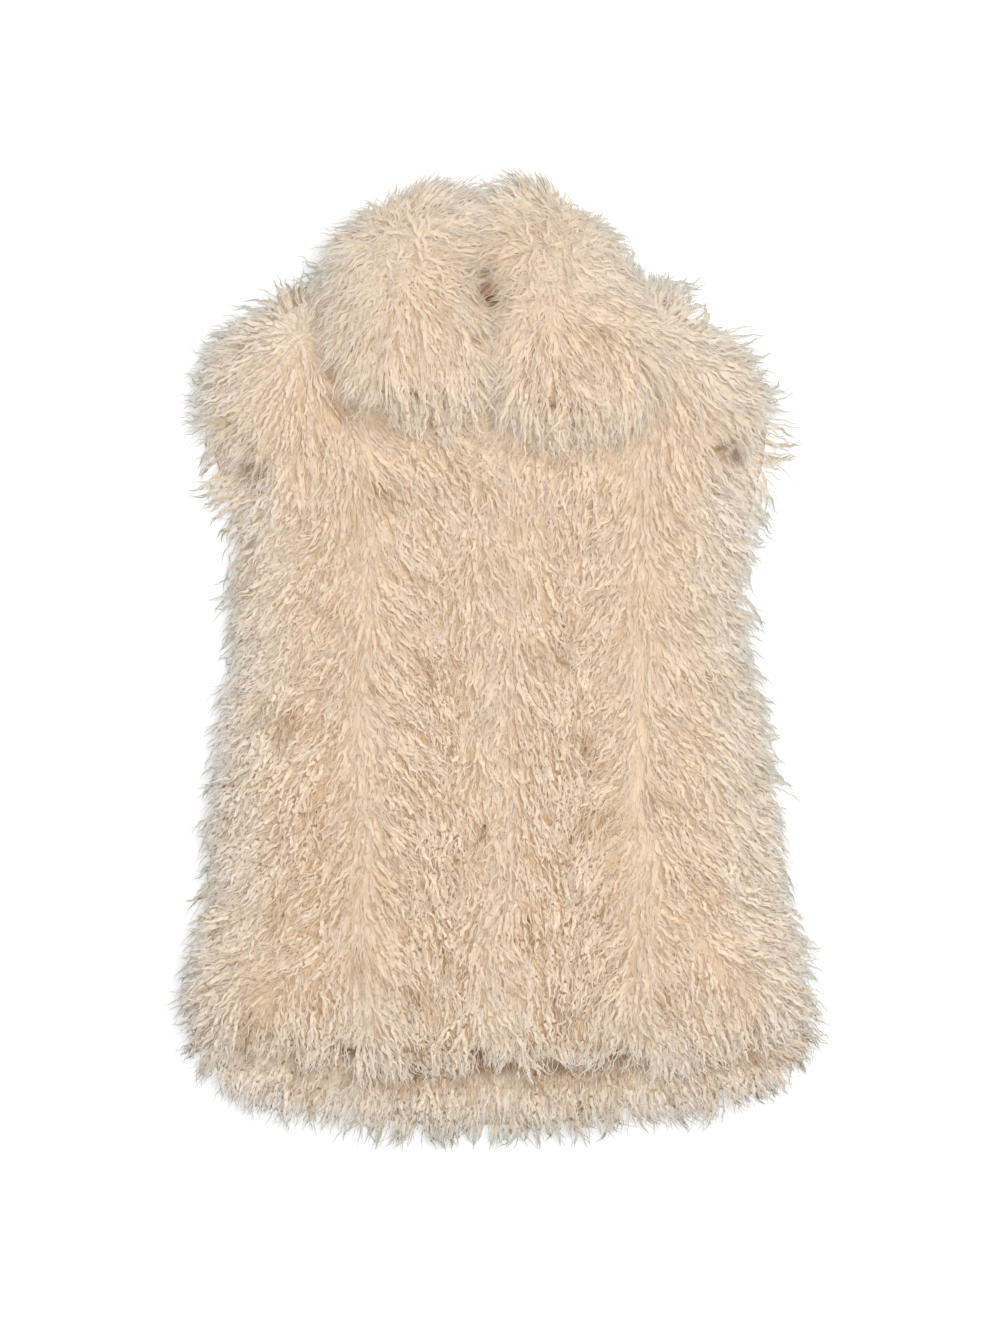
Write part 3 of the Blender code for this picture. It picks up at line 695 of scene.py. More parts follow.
@cache
def vest_outline():
    """Points all round the vest as seen from above, out where its solids reach."""
    solids = [solid_arrays(skin.node) for skin in SKINS]
    found = []
    for axis in (0, 1):
        first, last = (corner[axis] for corner in CAD_BOUNDS)
        rows = np.linspace(first + OUTLINE_STEP, last - OUTLINE_STEP, OUTLINE_ROWS)
        cuts = [reach(points[:, 1 - axis], points[:, axis], corners, rows) for points, corners in solids]
        for side in (np.min([low for low, _ in cuts], axis=0), np.max([high for _, high in cuts], axis=0)):
            found.append(np.stack([rows, side] if axis == 0 else [side, rows], axis=1))
    return np.concatenate(found)


def nearest(points, places):
    """The nearest of some places to each point, and how far it is."""
    best, gap = [], []
    for part in np.array_split(points, max(1, len(points) // MOST_AT_ONCE)):
        apart = np.linalg.norm(part[:, None, :] - places[None, :, :], axis=-1)
        best.append(apart.argmin(axis=1))
        gap.append(apart.min(axis=1))
    return np.concatenate(best), np.concatenate(gap)


def add_colours(mesh, name, columns):
    """Writes up to four columns as a colour of every point; those left out are 1."""
    columns = np.broadcast_arrays(*columns, *[1.0] * (4 - len(columns)))
    values = np.stack(columns, axis=-1).astype(np.float32)
    mesh.attributes.new(name, "FLOAT_COLOR", "POINT").data.foreach_set("color", values.ravel())


def grid_faces(rows, columns, first):
    i, j = np.meshgrid(np.arange(rows - 1), np.arange(columns - 1), indexing="ij")
    a = first + i * columns + j
    return np.stack([a, a + 1, a + columns + 1, a + columns], axis=-1).reshape(-1, 4)


def closed_skin(node, outer, under):
    """A closed sheet from the grids of its two sides, with what its underfur's colours need."""
    rows, columns = outer.shape[:2]
    count = rows * columns
    faces = [grid_faces(rows, columns, 0), grid_faces(rows, columns, count)[:, ::-1]]
    ring = np.concatenate([
        np.arange(columns), columns * np.arange(1, rows) + columns - 1,
        (rows - 1) * columns + np.arange(columns - 2, -1, -1), columns * np.arange(rows - 2, 0, -1)])
    after = np.roll(ring, -1)
    faces.append(np.stack([ring, ring + count, after + count, after], axis=-1))
    points = np.concatenate([outer.reshape(-1, 3), under.reshape(-1, 3)])
    mesh = bpy.data.meshes.new(piece_name(node, "skin"))
    mesh.from_pydata(points.tolist(), [], np.concatenate(faces).tolist())
    mesh.validate()
    # What the underfur's colours need: its plain share, painted shade in and round openings, and the cooler
    # tint, painted light
    cool = smooth_step(*COOL_EDGE, nearest(points[:, :2], vest_outline())[1])
    add_colours(mesh, "coat", [plain_share(points), depth_in(GAPS, points, OPENING_REACH), cool])
    add_colours(mesh, "nap", streak_shares(nap(node, points)).T)
    return mesh


def add_piece(mesh, material):
    """Makes a mesh a piece of the vest, under the mesh's own name."""
    mesh.shade_smooth()
    mesh.materials.append(material)
    piece = bpy.data.objects.new(mesh.name, mesh)
    bpy.context.scene.collection.objects.link(piece)
    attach(piece, "root")
    return piece


def outward_normals(points):
    """Normals of a grid of points, facing up and out of the piece."""
    normals = unit(np.cross(np.gradient(points, axis=1), np.gradient(points, axis=0)))
    return normals if normals[..., 2].mean() > 0 else -normals


def spread_from(whorls, points, flow):
    """Adds to a flow what spreads out from each whorl near it."""
    for whorl in whorls:
        away = points[:, :2] - np.array([whorl.x, whorl.y])
        near = np.exp(-(away ** 2).sum(axis=1) / whorl.radius ** 2)
        flow = flow + whorl.strength * near[:, None] * unit(away)
    return flow


def front_flow(points):
    """Out and down from the partings, and out from the shoulders above them."""
    lean = np.interp(swayed(points), *zip(*FRONT_NAP))
    lean = np.radians(lean * (1.0 - HEM_STRAIGHTENING * smooth_step(*HEM_CALM, points[:, 1])))
    flow = spread_from(FRONT_WHORLS, points, np.stack([np.sin(lean), -np.cos(lean)], axis=1))
    at_shoulder = smooth_step(*SHOULDER, points[:, 1])[:, None]
    out = spread_from(SHOULDER_WHORLS, points, np.zeros((len(points), 2)))
    return flow * (1.0 - SHOULDER_SHARE * at_shoulder) + at_shoulder * out


def back_flow(points):
    """Down and a little out, and straight out at the shoulders."""
    x, y = points[:, 0], points[:, 1]
    flow = np.stack([BACK_FAN * x, np.full(len(points), -1.0)], axis=1)
    upper = smooth_step(*BACK_SHOULDER, y)[:, None]
    return flow * (1.0 - upper) + upper * np.stack([np.sign(x), y - BACK_TURN_Y], axis=1)


def collar_flow(crown, points):
    """Out from a half's crown, down at the lower edge, and in to the middle behind the neck."""
    x, y = points[:, 0], points[:, 1]
    away = off_crown(crown, points)
    out = away / (np.linalg.norm(away, axis=1, keepdims=True) + CROWN_WIDTH)
    out[:, 1] -= COLLAR_FALL + COLLAR_HANG_PULL * smooth_step(*COLLAR_HANG, y)
    band = np.exp(-((x - NECK_BAND.x) / NECK_BAND.width) ** 2)
    band = (band * smooth_step(*NECK_BAND.low, y) * (1.0 - smooth_step(*NECK_BAND.high, y)))[:, None]
    inward = np.stack([np.sign(NECK_BAND.x - x), np.zeros(len(points))], axis=1)
    return out * (1.0 - band) + inward * band


def nap(node, points):
    """Which way the fur of a piece lies, as seen from above."""
    if node in COLLAR_CROWNS:
        return collar_flow(COLLAR_CROWNS[node], points)
    return back_flow(points) if node == "back_panel" else front_flow(points)


def sample_roots(laid, count, draw, density):
    """Places on a skin's outer side, spread by area and density, with what the fur there needs to know."""
    points, normals, edge = laid.points, laid.normals, laid.edge
    across = points[:-1, 1:] - points[:-1, :-1]
    along = points[1:, :-1] - points[:-1, :-1]
    area = np.linalg.norm(np.cross(across, along), axis=-1)
    area = area * density(points[:-1, :-1].reshape(-1, 3), edge[:-1, :-1].ravel()).reshape(area.shape)
    places = (np.arange(count) + draw.random(count)) / count
    cell = np.searchsorted(np.cumsum(area.ravel()) / area.sum(), places)
    cell = draw.permutation(np.minimum(cell, area.size - 1))
    i, j = np.unravel_index(cell, area.shape)
    u, v = draw.random((2, count))

    def read(grid):
        wide = (slice(None),) + (None,) * (grid.ndim - 2)
        a, b = u[wide], v[wide]
        return (grid[i, j] * (1 - a) * (1 - b) + grid[i, j + 1] * a * (1 - b)
                + grid[i + 1, j] * (1 - a) * b + grid[i + 1, j + 1] * a * b)

    place, normal = read(points), unit(read(normals))
    outline = nearest(place[:, :2], vest_outline())[1]
    return Roots(place, normal, read(edge), read(laid.seam), smooth_step(*RIM_SLOPE, normal[:, 2]), outline)


def turned(heading, turn):
    return np.stack([heading[:, 0] * np.cos(turn) - heading[:, 1] * np.sin(turn),
                     heading[:, 0] * np.sin(turn) + heading[:, 1] * np.cos(turn)], axis=1)


def spread(draw, count, reach_to):
    return reach_to * (2.0 * draw.random(count) - 1.0)


def tufts_of(coat, roots, draw, fur):
    """What each lock leans in with: a few of its neighbours for locks, the nearest lock for wisps."""
    if coat.node in GROWN:
        tufts = GROWN[coat.node]
        return tufts, nearest(roots.place, tufts.place)[0], fur.wisp_pull
    places = roots.place[draw.choice(coat.count, size=coat.count // fur.tuft_size, replace=False)]
    many = len(places)
    tufts = Habits(places, spread(draw, many, TUFT_TURN), spread(draw, many, TUFT_TURN), draw.random(many),
                   draw.random(many), spread(draw, many, LENGTH_OF_TUFT))
    return tufts, nearest(roots.place, places)[0], fur.tuft_pull


def lock_habits(kind, tufts, tuft, roots, draw):
    """Turn, bend, phase of the crimp, tone and reach of each lock, near those of its tuft."""
    count = len(tuft)
    own = TONE_OF_TUFT * (tufts.tone[tuft] - 0.5) + TONE_OF_LOCK * (draw.random(count) - 0.5)
    tone = 0.5 + own * (SOFT_TONES + CRISP_TONES * crispness(roots.place)) + kind.paler
    tone = tone + TONE_OF_COAT * TONE_SWING * ruffle(roots.place, TONE_RUFFLE)
    return Habits(roots.place, tufts.turn[tuft] + spread(draw, count, kind.stray),
                  tufts.bend[tuft] + spread(draw, count, LOCK_BEND),
                  tufts.phase[tuft] + spread(draw, count, LOCK_PHASE), tone,
                  tufts.reach[tuft] + spread(draw, count, LENGTH_SPREAD))


def lock_directions(coat, roots, turn, draw):
    """Along each lock on its skin, and to its side: with the nap, out over a rim, and across a seam."""
    place, count = roots.place, coat.count
    scatter = turned(np.tile([NAP_SCATTER, 0.0], (count, 1)), 2.0 * np.pi * draw.random(count))
    scatter = scatter * (1.0 + CROWN_SCATTER * near_crowns(place, FULL_CROWN))[:, None]
    at_shoulder = smooth_step(*SHOULDER, place[:, 1]) * (coat.node not in COLLAR_CROWNS)
    rim_turn = RIM_TURN + (SHOULDER_RIM_TURN - RIM_TURN) * at_shoulder
    rim_turn = rim_turn * np.maximum(roots.rim, near_rim(roots.edge))
    heading = unit(nap(coat.node, place) + scatter) + rim_turn[:, None] * roots.normal[:, :2]
    at_seam = np.exp(-(roots.seam / SEAM_COVER) ** 2)[:, None] * (coat in FRONT_COATS)
    toward_seam = 1.0 if coat.node == "front_right" else -1.0
    slant = toward_seam * draw.uniform(*SEAM_SLANT, count)
    across_seam = unit(np.stack([slant, np.full(count, -1.0)], axis=1))
    heading = unit(heading * (1.0 - at_seam) + across_seam * at_seam)
    heading = turned(heading, turn + RUFFLE_TURN * ruffle(place, TURN_RUFFLE))
    heading = np.column_stack([heading, -RIM_DROOP * roots.rim])
    tangent = unit(heading - (heading * roots.normal).sum(axis=1, keepdims=True) * roots.normal)
    return tangent, np.cross(roots.normal, tangent)


def lock_lengths(coat, roots, habits, draw, fur):
    """Length of each lock: uneven, shorter at the rims, and shortest on a crown and at the back's hem."""
    place = roots.place
    length = fur.lock_length * coat.length * (LENGTH_MEAN + habits.reach)
    length *= 1.0 + LENGTH_SWING * ruffle(place, LENGTH_RUFFLE)
    at_rim = np.maximum(roots.rim, RIM_SHORTENING * near_rim(roots.edge))
    over = smooth_step(*OVER_PIECE, roots.outline)
    length *= 1.0 + (coat.rim_length + (coat.over_length - coat.rim_length) * over - 1.0) * at_rim
    length *= 1.0 - CROWN_SHORTENING * near_crowns(place, 1.0)
    hem = smooth_step(*BACK_HEM, place[:, 1])
    return length * (1.0 - hem * (HEM_SHORTENING + spread(draw, coat.count, HEM_LENGTH_SPREAD)))


def lock_curves(coat, roots, habits, length, along, draw, fur):
    """How far each ring of a lock lies forward, aside and up from its root, as it rises, bends and waves."""
    count = coat.count
    stand = fur.stand + (fur.edge_stand - fur.stand) * roots.rim + spread(draw, count, STAND_SPREAD)
    stand = stand + RUFFLE_STAND * ruffle(roots.place, STAND_RUFFLE)
    settle = fur.settle + (fur.edge_settle - fur.settle) * roots.rim + spread(draw, count, STAND_SPREAD)
    rise = stand[:, None] + (settle - stand)[:, None] * smooth_step(0.0, SETTLED_AT, along)[None, :]
    bend = 2.0 * habits.bend[:, None] * along[None, :]
    rise, bend = (0.5 * (values[:, 1:] + values[:, :-1]) for values in (rise, bend))
    step = np.diff(along)[None, :] * length[:, None]

    def summed(steps):
        return np.concatenate([np.zeros((count, 1)), np.cumsum(steps, axis=1)], axis=1)

    forward = summed(step * np.cos(rise) * np.cos(bend))
    aside = summed(step * np.cos(rise) * np.sin(bend))
    lift = summed(step * np.sin(rise))
    wave = 2.0 * np.pi * (along[None, :] * length[:, None] / fur.crimp_length + habits.phase[:, None])
    swing = fur.crimp_width * coat.kind.crimp * (1.0 + spread(draw, count, CRIMP_SPREAD))
    swing = swing * (1.0 - (1.0 - HEM_CRIMP) * smooth_step(*BACK_HEM, roots.place[:, 1]))
    swing = swing[:, None] * smooth_step(*CRIMP_START, along)[None, :]
    lift = lift + CRIMP_LIFT * swing * np.cos(wave) - ROOT_DEPTH
    lift = lift + coat.kind.lift * smooth_step(*WISP_LIFT, along)[None, :]
    return forward, aside + swing * np.sin(wave), lift


def share_before(inside, along):
    """Share of each lock that lies before its first ring that is inside something."""
    return np.where(inside.any(axis=1), along[inside.argmax(axis=1)], 1.0)


def cut_short(path, along, crossing, draw):
    """Draws back most of the locks that would cross an opening, and all that would stand out too far."""
    keep = np.min([share_before(into(gap, path) < 1.0, along) for gap in GAPS], axis=0)
    keep = np.where(draw.random(len(path)) < crossing, 1.0, keep)
    low, high = np.array(CAD_BOUNDS)
    outside = (path[..., :2] < low[:2] - STAND_PROUD).any(axis=-1) | (path > high + STAND_PROUD).any(axis=-1)
    keep = np.minimum(keep, share_before(outside | (into(NECK_TRIM, path) < 1.0), along))
    place = np.maximum(keep, SHORTEST_SHARE)[:, None] * along[None, :]
    ring = np.clip(np.searchsorted(along, place) - 1, 0, len(along) - 2)
    share = ((place - along[ring]) / (along[ring + 1] - along[ring]))[..., None]
    lock = np.arange(len(path))[:, None]
    return path[lock, ring] * (1.0 - share) + path[lock, ring + 1] * share


def above_floor(height):
    return FLOOR_GAP + FLOOR_SOFTNESS * np.logaddexp(0.0, (height - FLOOR_GAP) / FLOOR_SOFTNESS)


def cast_shade(node, roots, tone):
    """How far the edges of what lies over a piece shade its fur: most where the fur is dark in itself."""
    if node not in SHADES:
        return np.zeros(len(tone))
    shade = SHADES[node]
    over = [LAID[name].points for name in shade.over]
    edges = np.concatenate([np.concatenate([grid[0], grid[-1], grid[:, 0], grid[:, -1]]) for grid in over])
    apart = nearest(roots.place[:, :2], edges[:, :2])[1]
    at_edge = shade.depth * smooth_step(shade.reach, 0.0, apart) * (DARK_IN_SHADE - tone)
    return np.clip(shade.base + at_edge, 0.0, 1.0) * smooth_step(*shade.below, roots.place[:, 1])


def cool_share(node, roots):
    """How far a lock takes the cooler tint, painted light, of the vest's outline and of its own piece's rim.
    """
    cool = smooth_step(*COOL_EDGE, roots.outline) * (COOL_COLLAR if node in COLLAR_CROWNS else 1.0)
    cool = np.maximum(cool, COOL_HEM * smooth_step(*HEM_CALM, roots.place[:, 1]))
    return np.maximum(cool, COOL_RIMS[node] * near_rim(roots.edge))


def coat_normals(roots):
    """Which way the coat faces at each root: up, and outwards at a rim."""
    return unit(roots.normal + np.array([0.0, 0.0, COAT_UPWARD]))


def lock_sections(path, width, facing, fur):
    """Corners of every ring of each lock, square to the way it runs and flat against the coat."""
    run = np.gradient(path, axis=1)[:, :-1]
    side = unit(np.cross(facing[:, None, :], run))[:, :, None, :]
    up = unit(np.cross(run[:, :, None, :], side))
    corner = np.radians(LOCK_CORNERS)[None, None, :, None]
    return width[..., None, None] * (np.cos(corner) * side * LOCK_BREADTH
                                     + np.sin(corner) * up * fur.lock_flatness)


def lock_mesh(coat, path, offsets):
    """One joined mesh of closed, three-sided locks that end in a point."""
    count, rings = coat.count, coat.kind.rings
    per_lock = rings * SIDES + 1
    sections = (path[:, :-1, None, :] + offsets).reshape(count, rings * SIDES, 3)
    points = np.concatenate([sections, path[:, -1:, :]], axis=1)
    ring = np.arange(rings - 1)[:, None] * SIDES
    side = np.arange(SIDES)[None, :]
    after = (side + 1) % SIDES
    quads = np.stack([ring + side, ring + after, ring + SIDES + after, ring + SIDES + side], axis=-1)
    last = (rings - 1) * SIDES
    ends = np.array([[last + n, last + (n + 1) % SIDES, per_lock - 1] for n in range(SIDES)] + [[2, 1, 0]])
    first = np.arange(count)[:, None, None] * per_lock
    kinds = quads.reshape(1, -1, 4), ends[None]
    faces = [(kind + first).reshape(-1, kind.shape[-1]).tolist() for kind in kinds]
    mesh = bpy.data.meshes.new(piece_name(coat.node, coat.kind.name))
    mesh.from_pydata(points.reshape(-1, 3).tolist(), [], faces[0] + faces[1])
    return mesh


def paint_locks(mesh, coat, roots, habits, path, length, along):
    """Writes what the fur's colours need: place along a lock, tone, tints, crispness, shade and strands."""
    at = np.concatenate([np.repeat(along[:-1], SIDES), [1.0]])[None, :]
    crisp = crispness(roots.place)[:, None]
    cast = cast_shade(coat.node, roots, habits.tone)[:, None]
    place = at + SOFT_ROOTS * (1.0 - crisp) * (1.0 - at)
    # The cooler, paler tint is painted light
    cool = cool_share(coat.node, roots)[:, None] * (COOL_ROOT + (1.0 - COOL_ROOT) * at)
    cool = cool * (1.0 - WARM_SHADE * cast)
    # Greyer tips at the outline and at the back's hem: painted shade
    shaded_tips = HEM_TIP_SHADE * smooth_step(*BACK_HEM, roots.place[:, 1])
    shaded_tips = np.maximum(smooth_step(*FRINGE_REACH, roots.outline), shaded_tips)
    shaded_tips = shaded_tips[:, None] * smooth_step(*TIP_SHADE_ALONG, at)
    add_colours(mesh, "fur", [place, habits.tone[:, None], cool, shaded_tips])
    spine = np.concatenate([np.repeat(path[:, :-1], SIDES, axis=1), path[:, -1:]], axis=1)
    add_colours(mesh, "light", [crisp, 1.0 - (1.0 - depth_in(HOLLOWS, spine)) * (1.0 - cast)])

    around = np.concatenate([np.tile(np.arange(SIDES), coat.kind.rings), [UV_TIP]])[None, :]
    around = around + UV_APART * np.arange(coat.count)[:, None]
    strand = np.stack([around, UV_LENGTH * at * length[:, None]], axis=-1)
    loops = np.empty(len(mesh.loops), dtype=np.int32)
    mesh.loops.foreach_get("vertex_index", loops)
    strand = strand.reshape(-1, 2)[loops].astype(np.float32)
    mesh.uv_layers.new(name="strand").data.foreach_set("uv", strand.ravel())


def soften(mesh, roots, offsets, softness):
    """Shades each lock partly as itself, the more the crisper it is, and partly as the whole coat."""
    count, rings = offsets.shape[:2]
    own = np.concatenate([unit(offsets).reshape(count, rings * SIDES, 3), roots.normal[:, None, :]], axis=1)
    share = (1.0 - softness) * crispness(roots.place)[:, None, None]
    normals = unit(own * share + coat_normals(roots)[:, None, :] * (1.0 - share))
    mesh.normals_split_custom_set_from_vertices(normals.reshape(-1, 3).tolist())


def grow_coat(coat, density, material, fur):
    """One coat of wavy, tapering three-sided locks as a single joined mesh."""
    draw = np.random.default_rng(coat.seed)
    laid = LAID[coat.node]
    roots = sample_roots(laid, coat.count, draw, density)
    tufts, tuft, pull = tufts_of(coat, roots, draw, fur)
    habits = lock_habits(coat.kind, tufts, tuft, roots, draw)
    GROWN.setdefault(coat.node, habits)
    tangent, side = lock_directions(coat, roots, habits.turn, draw)
    length = lock_lengths(coat, roots, habits, draw, fur)
    along = np.linspace(0.0, 1.0, coat.kind.rings + 1) ** RING_SPACING
    forward, aside, lift = lock_curves(coat, roots, habits, length, along, draw, fur)
    pull = np.minimum(pull * (1.0 + EDGE_GATHER * smooth_step(*FRINGE_REACH, roots.outline)), MOST_GATHER)
    gather = (tufts.place[tuft] - roots.place) * pull[:, None]
    path = roots.place[:, None, :] + gather[:, None, :] * (along ** GATHER_LATE)[None, :, None]
    for steps, way in ((forward, tangent), (aside, side), (lift, roots.normal)):
        path = path + steps[..., None] * way[:, None, :]
    path = cut_short(path, along, coat.kind.crossing, draw)
    path[..., 2] = above_floor(path[..., 2])

    half_width = 0.5 * fur.lock_width * coat.kind.width * (1.0 + spread(draw, coat.count, WIDTH_SPREAD))
    taper = ROOT_WIDTH + (1.0 - ROOT_WIDTH) * smooth_step(*LOCK_SWELL, along)
    taper = taper * (1.0 - smooth_step(*LOCK_TAPER, along)) ** TAPER_POWER
    offsets = lock_sections(path, half_width[:, None] * taper[None, :-1], coat_normals(roots), fur)
    mesh = lock_mesh(coat, path, offsets)
    paint_locks(mesh, coat, roots, habits, path, length, along)
    add_piece(mesh, material)
    soften(mesh, roots, offsets, fur.softness)


def under_collar(points):
    """1 where the collar lies well over a place, 0 clear of it and near the collar's edge."""
    trees = [solid_tree(half) for half in COLLAR_SIDES]
    covered = np.ones(len(points))
    for shift in ((COLLAR_COVER, 0.0), (-COLLAR_COVER, 0.0), (0.0, COLLAR_COVER), (0.0, -COLLAR_COVER)):
        for index, (x, y, _) in enumerate(points):
            start = Vector((x + shift[0], y + shift[1], 0.0))
            if all(tree.ray_cast(start, Vector((0.0, 0.0, 1.0)))[0] is None for tree in trees):
                covered[index] = 0.0
    return covered


def front_density(points, edge):
    """The fronts' fur is thickest at the edges and where it parts, so that the skin doesn't show."""
    density = 1.0 + FRONT_EDGE_DENSITY * (1.0 - smooth_step(*DENSE_EDGE, edge))
    density += PARTING_DENSITY * near_partings(points, PARTING_WIDTH)
    return density * (1.0 - COVERED_SHARE * under_collar(points))


def collar_density(points, edge):
    """The collar's fur is thickest at its crowns and edges."""
    at_edge = COLLAR_EDGE_DENSITY * (1.0 - smooth_step(*DENSE_EDGE, edge))
    return 1.0 + CROWN_DENSITY * near_crowns(points, FULL_CROWN) + at_edge


def back_density(points, edge):
    """The back shows only round its rim, at its hem and in the armholes."""
    hem = smooth_step(*BACK_HEM_SHOWN, points[:, 1])
    behind_neck = (points[:, 1] > BEHIND_NECK_Y) & (np.abs(points[:, 0]) < BEHIND_NECK_HALF)
    shown = np.maximum(1.0 - smooth_step(*BACK_RIM_SHOWN, edge), BACK_HEM_DENSITY * hem)
    return np.where(behind_neck, 0.0, shown) + LEAST_DENSITY


def feed(tree, socket, value):
    """Links a socket to what feeds it, or sets its constant."""
    if isinstance(value, bpy.types.NodeSocket):
        tree.links.new(value, socket)
    else:
        socket.default_value = value


def shader_node(tree, kind, **inputs):
    """Adds a shader node and feeds its inputs."""
    made = tree.nodes.new(kind)
    for name, value in inputs.items():
        feed(tree, made.inputs[name], value)
    return made


def new_material(name):
    material = bpy.data.materials.new(name)
    material.use_nodes = True
    return material, material.node_tree, material.node_tree.nodes["Principled BSDF"]


def finish_surface(tree, shader, body, height, bump, finish):
    """Feeds a shader its colour, its bump and the constants of its finish."""
    made = shader_node(tree, "ShaderNodeBump", Height=height, Strength=bump.strength, Distance=bump.distance)
    for name, value in {"Base Color": body, "Normal": made.outputs["Normal"], **finish}.items():
        feed(tree, shader.inputs[name], value)


def rgba(shown):
    """A colour, or a grey given as one number, with its alpha."""
    return (*np.broadcast_to(shown, 3).tolist(), 1.0)


def ramp(tree, factor, stops):
    made = shader_node(tree, "ShaderNodeValToRGB", Fac=factor)
    elements = made.color_ramp.elements
    while len(elements) < len(stops):
        elements.new(0.5)
    for element, (place, shown) in zip(elements, stops):
        element.position = place
        element.color = rgba(shown)
    return made.outputs["Color"]


def maths(tree, operation, first, second=0.0):
    made = tree.nodes.new("ShaderNodeMath")
    made.operation = operation
    for socket, value in zip(made.inputs, (first, second)):
        feed(tree, socket, value)
    return made.outputs[0]


def mix(tree, factor, first, second, blend="MIX"):
    made = tree.nodes.new("ShaderNodeMix")
    made.data_type = "RGBA"
    made.blend_type = blend
    for index, value in zip(MIX_INPUTS, (factor, first, second)):
        feed(tree, made.inputs[index], value)
    return made.outputs[MIX_RESULT]


def times(tree, first, second, factor=1.0):
    return mix(tree, factor, first, second, "MULTIPLY")


def noise(tree, place, scale=1.0, detail=0.0, distortion=0.0):
    return shader_node(tree, "ShaderNodeTexNoise", Vector=place, Scale=scale, Detail=detail,
                       Distortion=distortion).outputs["Fac"]


def scaled(tree, x, x_scale, y, y_scale):
    """A place in the strands' map, drawn out across and along a lock."""
    return shader_node(tree, "ShaderNodeCombineXYZ", X=maths(tree, "MULTIPLY", x, x_scale),
                       Y=maths(tree, "MULTIPLY", y, y_scale)).outputs["Vector"]


def attribute(tree, name):
    """Parts of a colour attribute: red, green, blue and alpha."""
    made = tree.nodes.new("ShaderNodeAttribute")
    made.attribute_name = name
    parts = shader_node(tree, "ShaderNodeSeparateColor", Color=made.outputs["Color"]).outputs
    return [*parts, made.outputs["Alpha"]]


def object_place(tree):
    return tree.nodes.new("ShaderNodeTexCoord").outputs["Object"]


def lock_material(name, colours):
    """Wavy fur: dark at the roots, partly in itself and partly as painted shade, pale at the tips, with a
    tone for each lock, fine strands along it in painted shade, painted glints on their waves, and painted
    light and shade at the outline, below edges and in hollows.
    """
    material, tree, shader = new_material(name)
    along, tone, cool, shaded_tips = attribute(tree, "fur")
    crisp, shade = attribute(tree, "light")[:2]
    # Dark roots: partly the fur's own colour, partly painted shade deep in the coat
    from_root = (colours.root, colours.middle, colours.middle, colours.tip)
    body = ramp(tree, along, list(zip(LOCK_STOPS, from_root)))
    # Painted light: the cooler, paler tint; painted shade: the greyer tips at the outline
    body = mix(tree, cool, body, rgba(colours.edge))
    body = mix(tree, shaded_tips, body, rgba(colours.shaded_tips))
    body = times(tree, body, ramp(tree, tone, TONES))
    body = times(tree, body, rgba(colours.shade), shade)
    patches = noise(tree, object_place(tree), PATCH_SCALE, PATCH_DETAIL)
    body = times(tree, body, ramp(tree, patches, PATCHES))

    uv = tree.nodes.new("ShaderNodeUVMap")
    uv.uv_map = "strand"
    x, y, _ = shader_node(tree, "ShaderNodeSeparateXYZ", Vector=uv.outputs["UV"]).outputs
    turn = maths(tree, "MULTIPLY", y, 2.0 * math.pi / STRAND_WAVE)
    across = maths(tree, "ADD", x, maths(tree, "MULTIPLY", maths(tree, "SINE", turn), STRAND_SWING))
    strands = noise(tree, scaled(tree, across, STRANDS_ACROSS, y, STRAND_CHANGE), detail=STRAND_DETAIL)
    # Fine strands: painted shade in thin lines between them
    body = times(tree, body, mix(tree, crisp, rgba(SOFT_STRANDS), ramp(tree, strands, STRANDS)))
    # Painted glints along each wave of the crimp, with painted shade between them
    glint = maths(tree, "SINE", maths(tree, "ADD", turn, maths(tree, "MULTIPLY", strands, STRAND_STAGGER)))
    glint = maths(tree, "ADD", maths(tree, "MULTIPLY", glint, 0.5), 0.5)
    body = times(tree, body, mix(tree, crisp, rgba(SOFT_GLINTS), ramp(tree, glint, GLINTS)))
    flecks = noise(tree, scaled(tree, x, FLECK_ACROSS, y, FLECK_ALONG))
    body = times(tree, body, ramp(tree, flecks, FLECKS), crisp)
    bump = LOCK_BUMP._replace(strength=maths(tree, "MULTIPLY", crisp, LOCK_BUMP.strength))
    finish_surface(tree, shader, body, strands, bump, LOCK_FINISH)
    return material


def underfur_material(colours):
    """Dense short fur at the skin, in fine streaks along the nap, pale at partings, with painted shade in
    openings and, in part, between crisp locks, and a cooler tint painted as light near the vest's outline.
    """
    material, tree, shader = new_material("vest_underfur")
    place = object_place(tree)
    streaks = 0.0
    for lean, share in zip(STREAK_LEANS, attribute(tree, "nap")):
        lying = shader_node(tree, "ShaderNodeMapping", Vector=place, Rotation=(0.0, 0.0, math.radians(lean)),
                            Scale=(1.0, STREAK_STRETCH, 1.0))
        lying.vector_type = "TEXTURE"
        streak = noise(tree, lying.outputs["Vector"], STREAK_SCALE, STREAK_DETAIL, STREAK_DISTORTION)
        streaks = maths(tree, "ADD", streaks, maths(tree, "MULTIPLY", streak, share))
    pale = ramp(tree, streaks, list(zip(PALE_STREAKS, (colours.underfur, colours.plain))))
    # Deep streaks between crisp locks: partly the underfur's own colour, partly painted shade
    deep = ramp(tree, streaks, list(zip(DEEP_STREAKS, (colours.gap, colours.underfur))))
    # The underfur's cooler edge, painted light
    edged = times(tree, rgba(colours.edge), ramp(tree, streaks, EDGE_STREAKS))
    plain, opening, cool = attribute(tree, "coat")[:3]
    body = mix(tree, cool, mix(tree, plain, deep, pale), edged)
    # Painted shade in openings
    body = mix(tree, opening, body, rgba(colours.opening))
    finish_surface(tree, shader, body, streaks, UNDERFUR_BUMP, UNDERFUR_FINISH)
    return material


def vest_settings(context):
    return [getattr(context.scene, name) for name in SETTINGS]


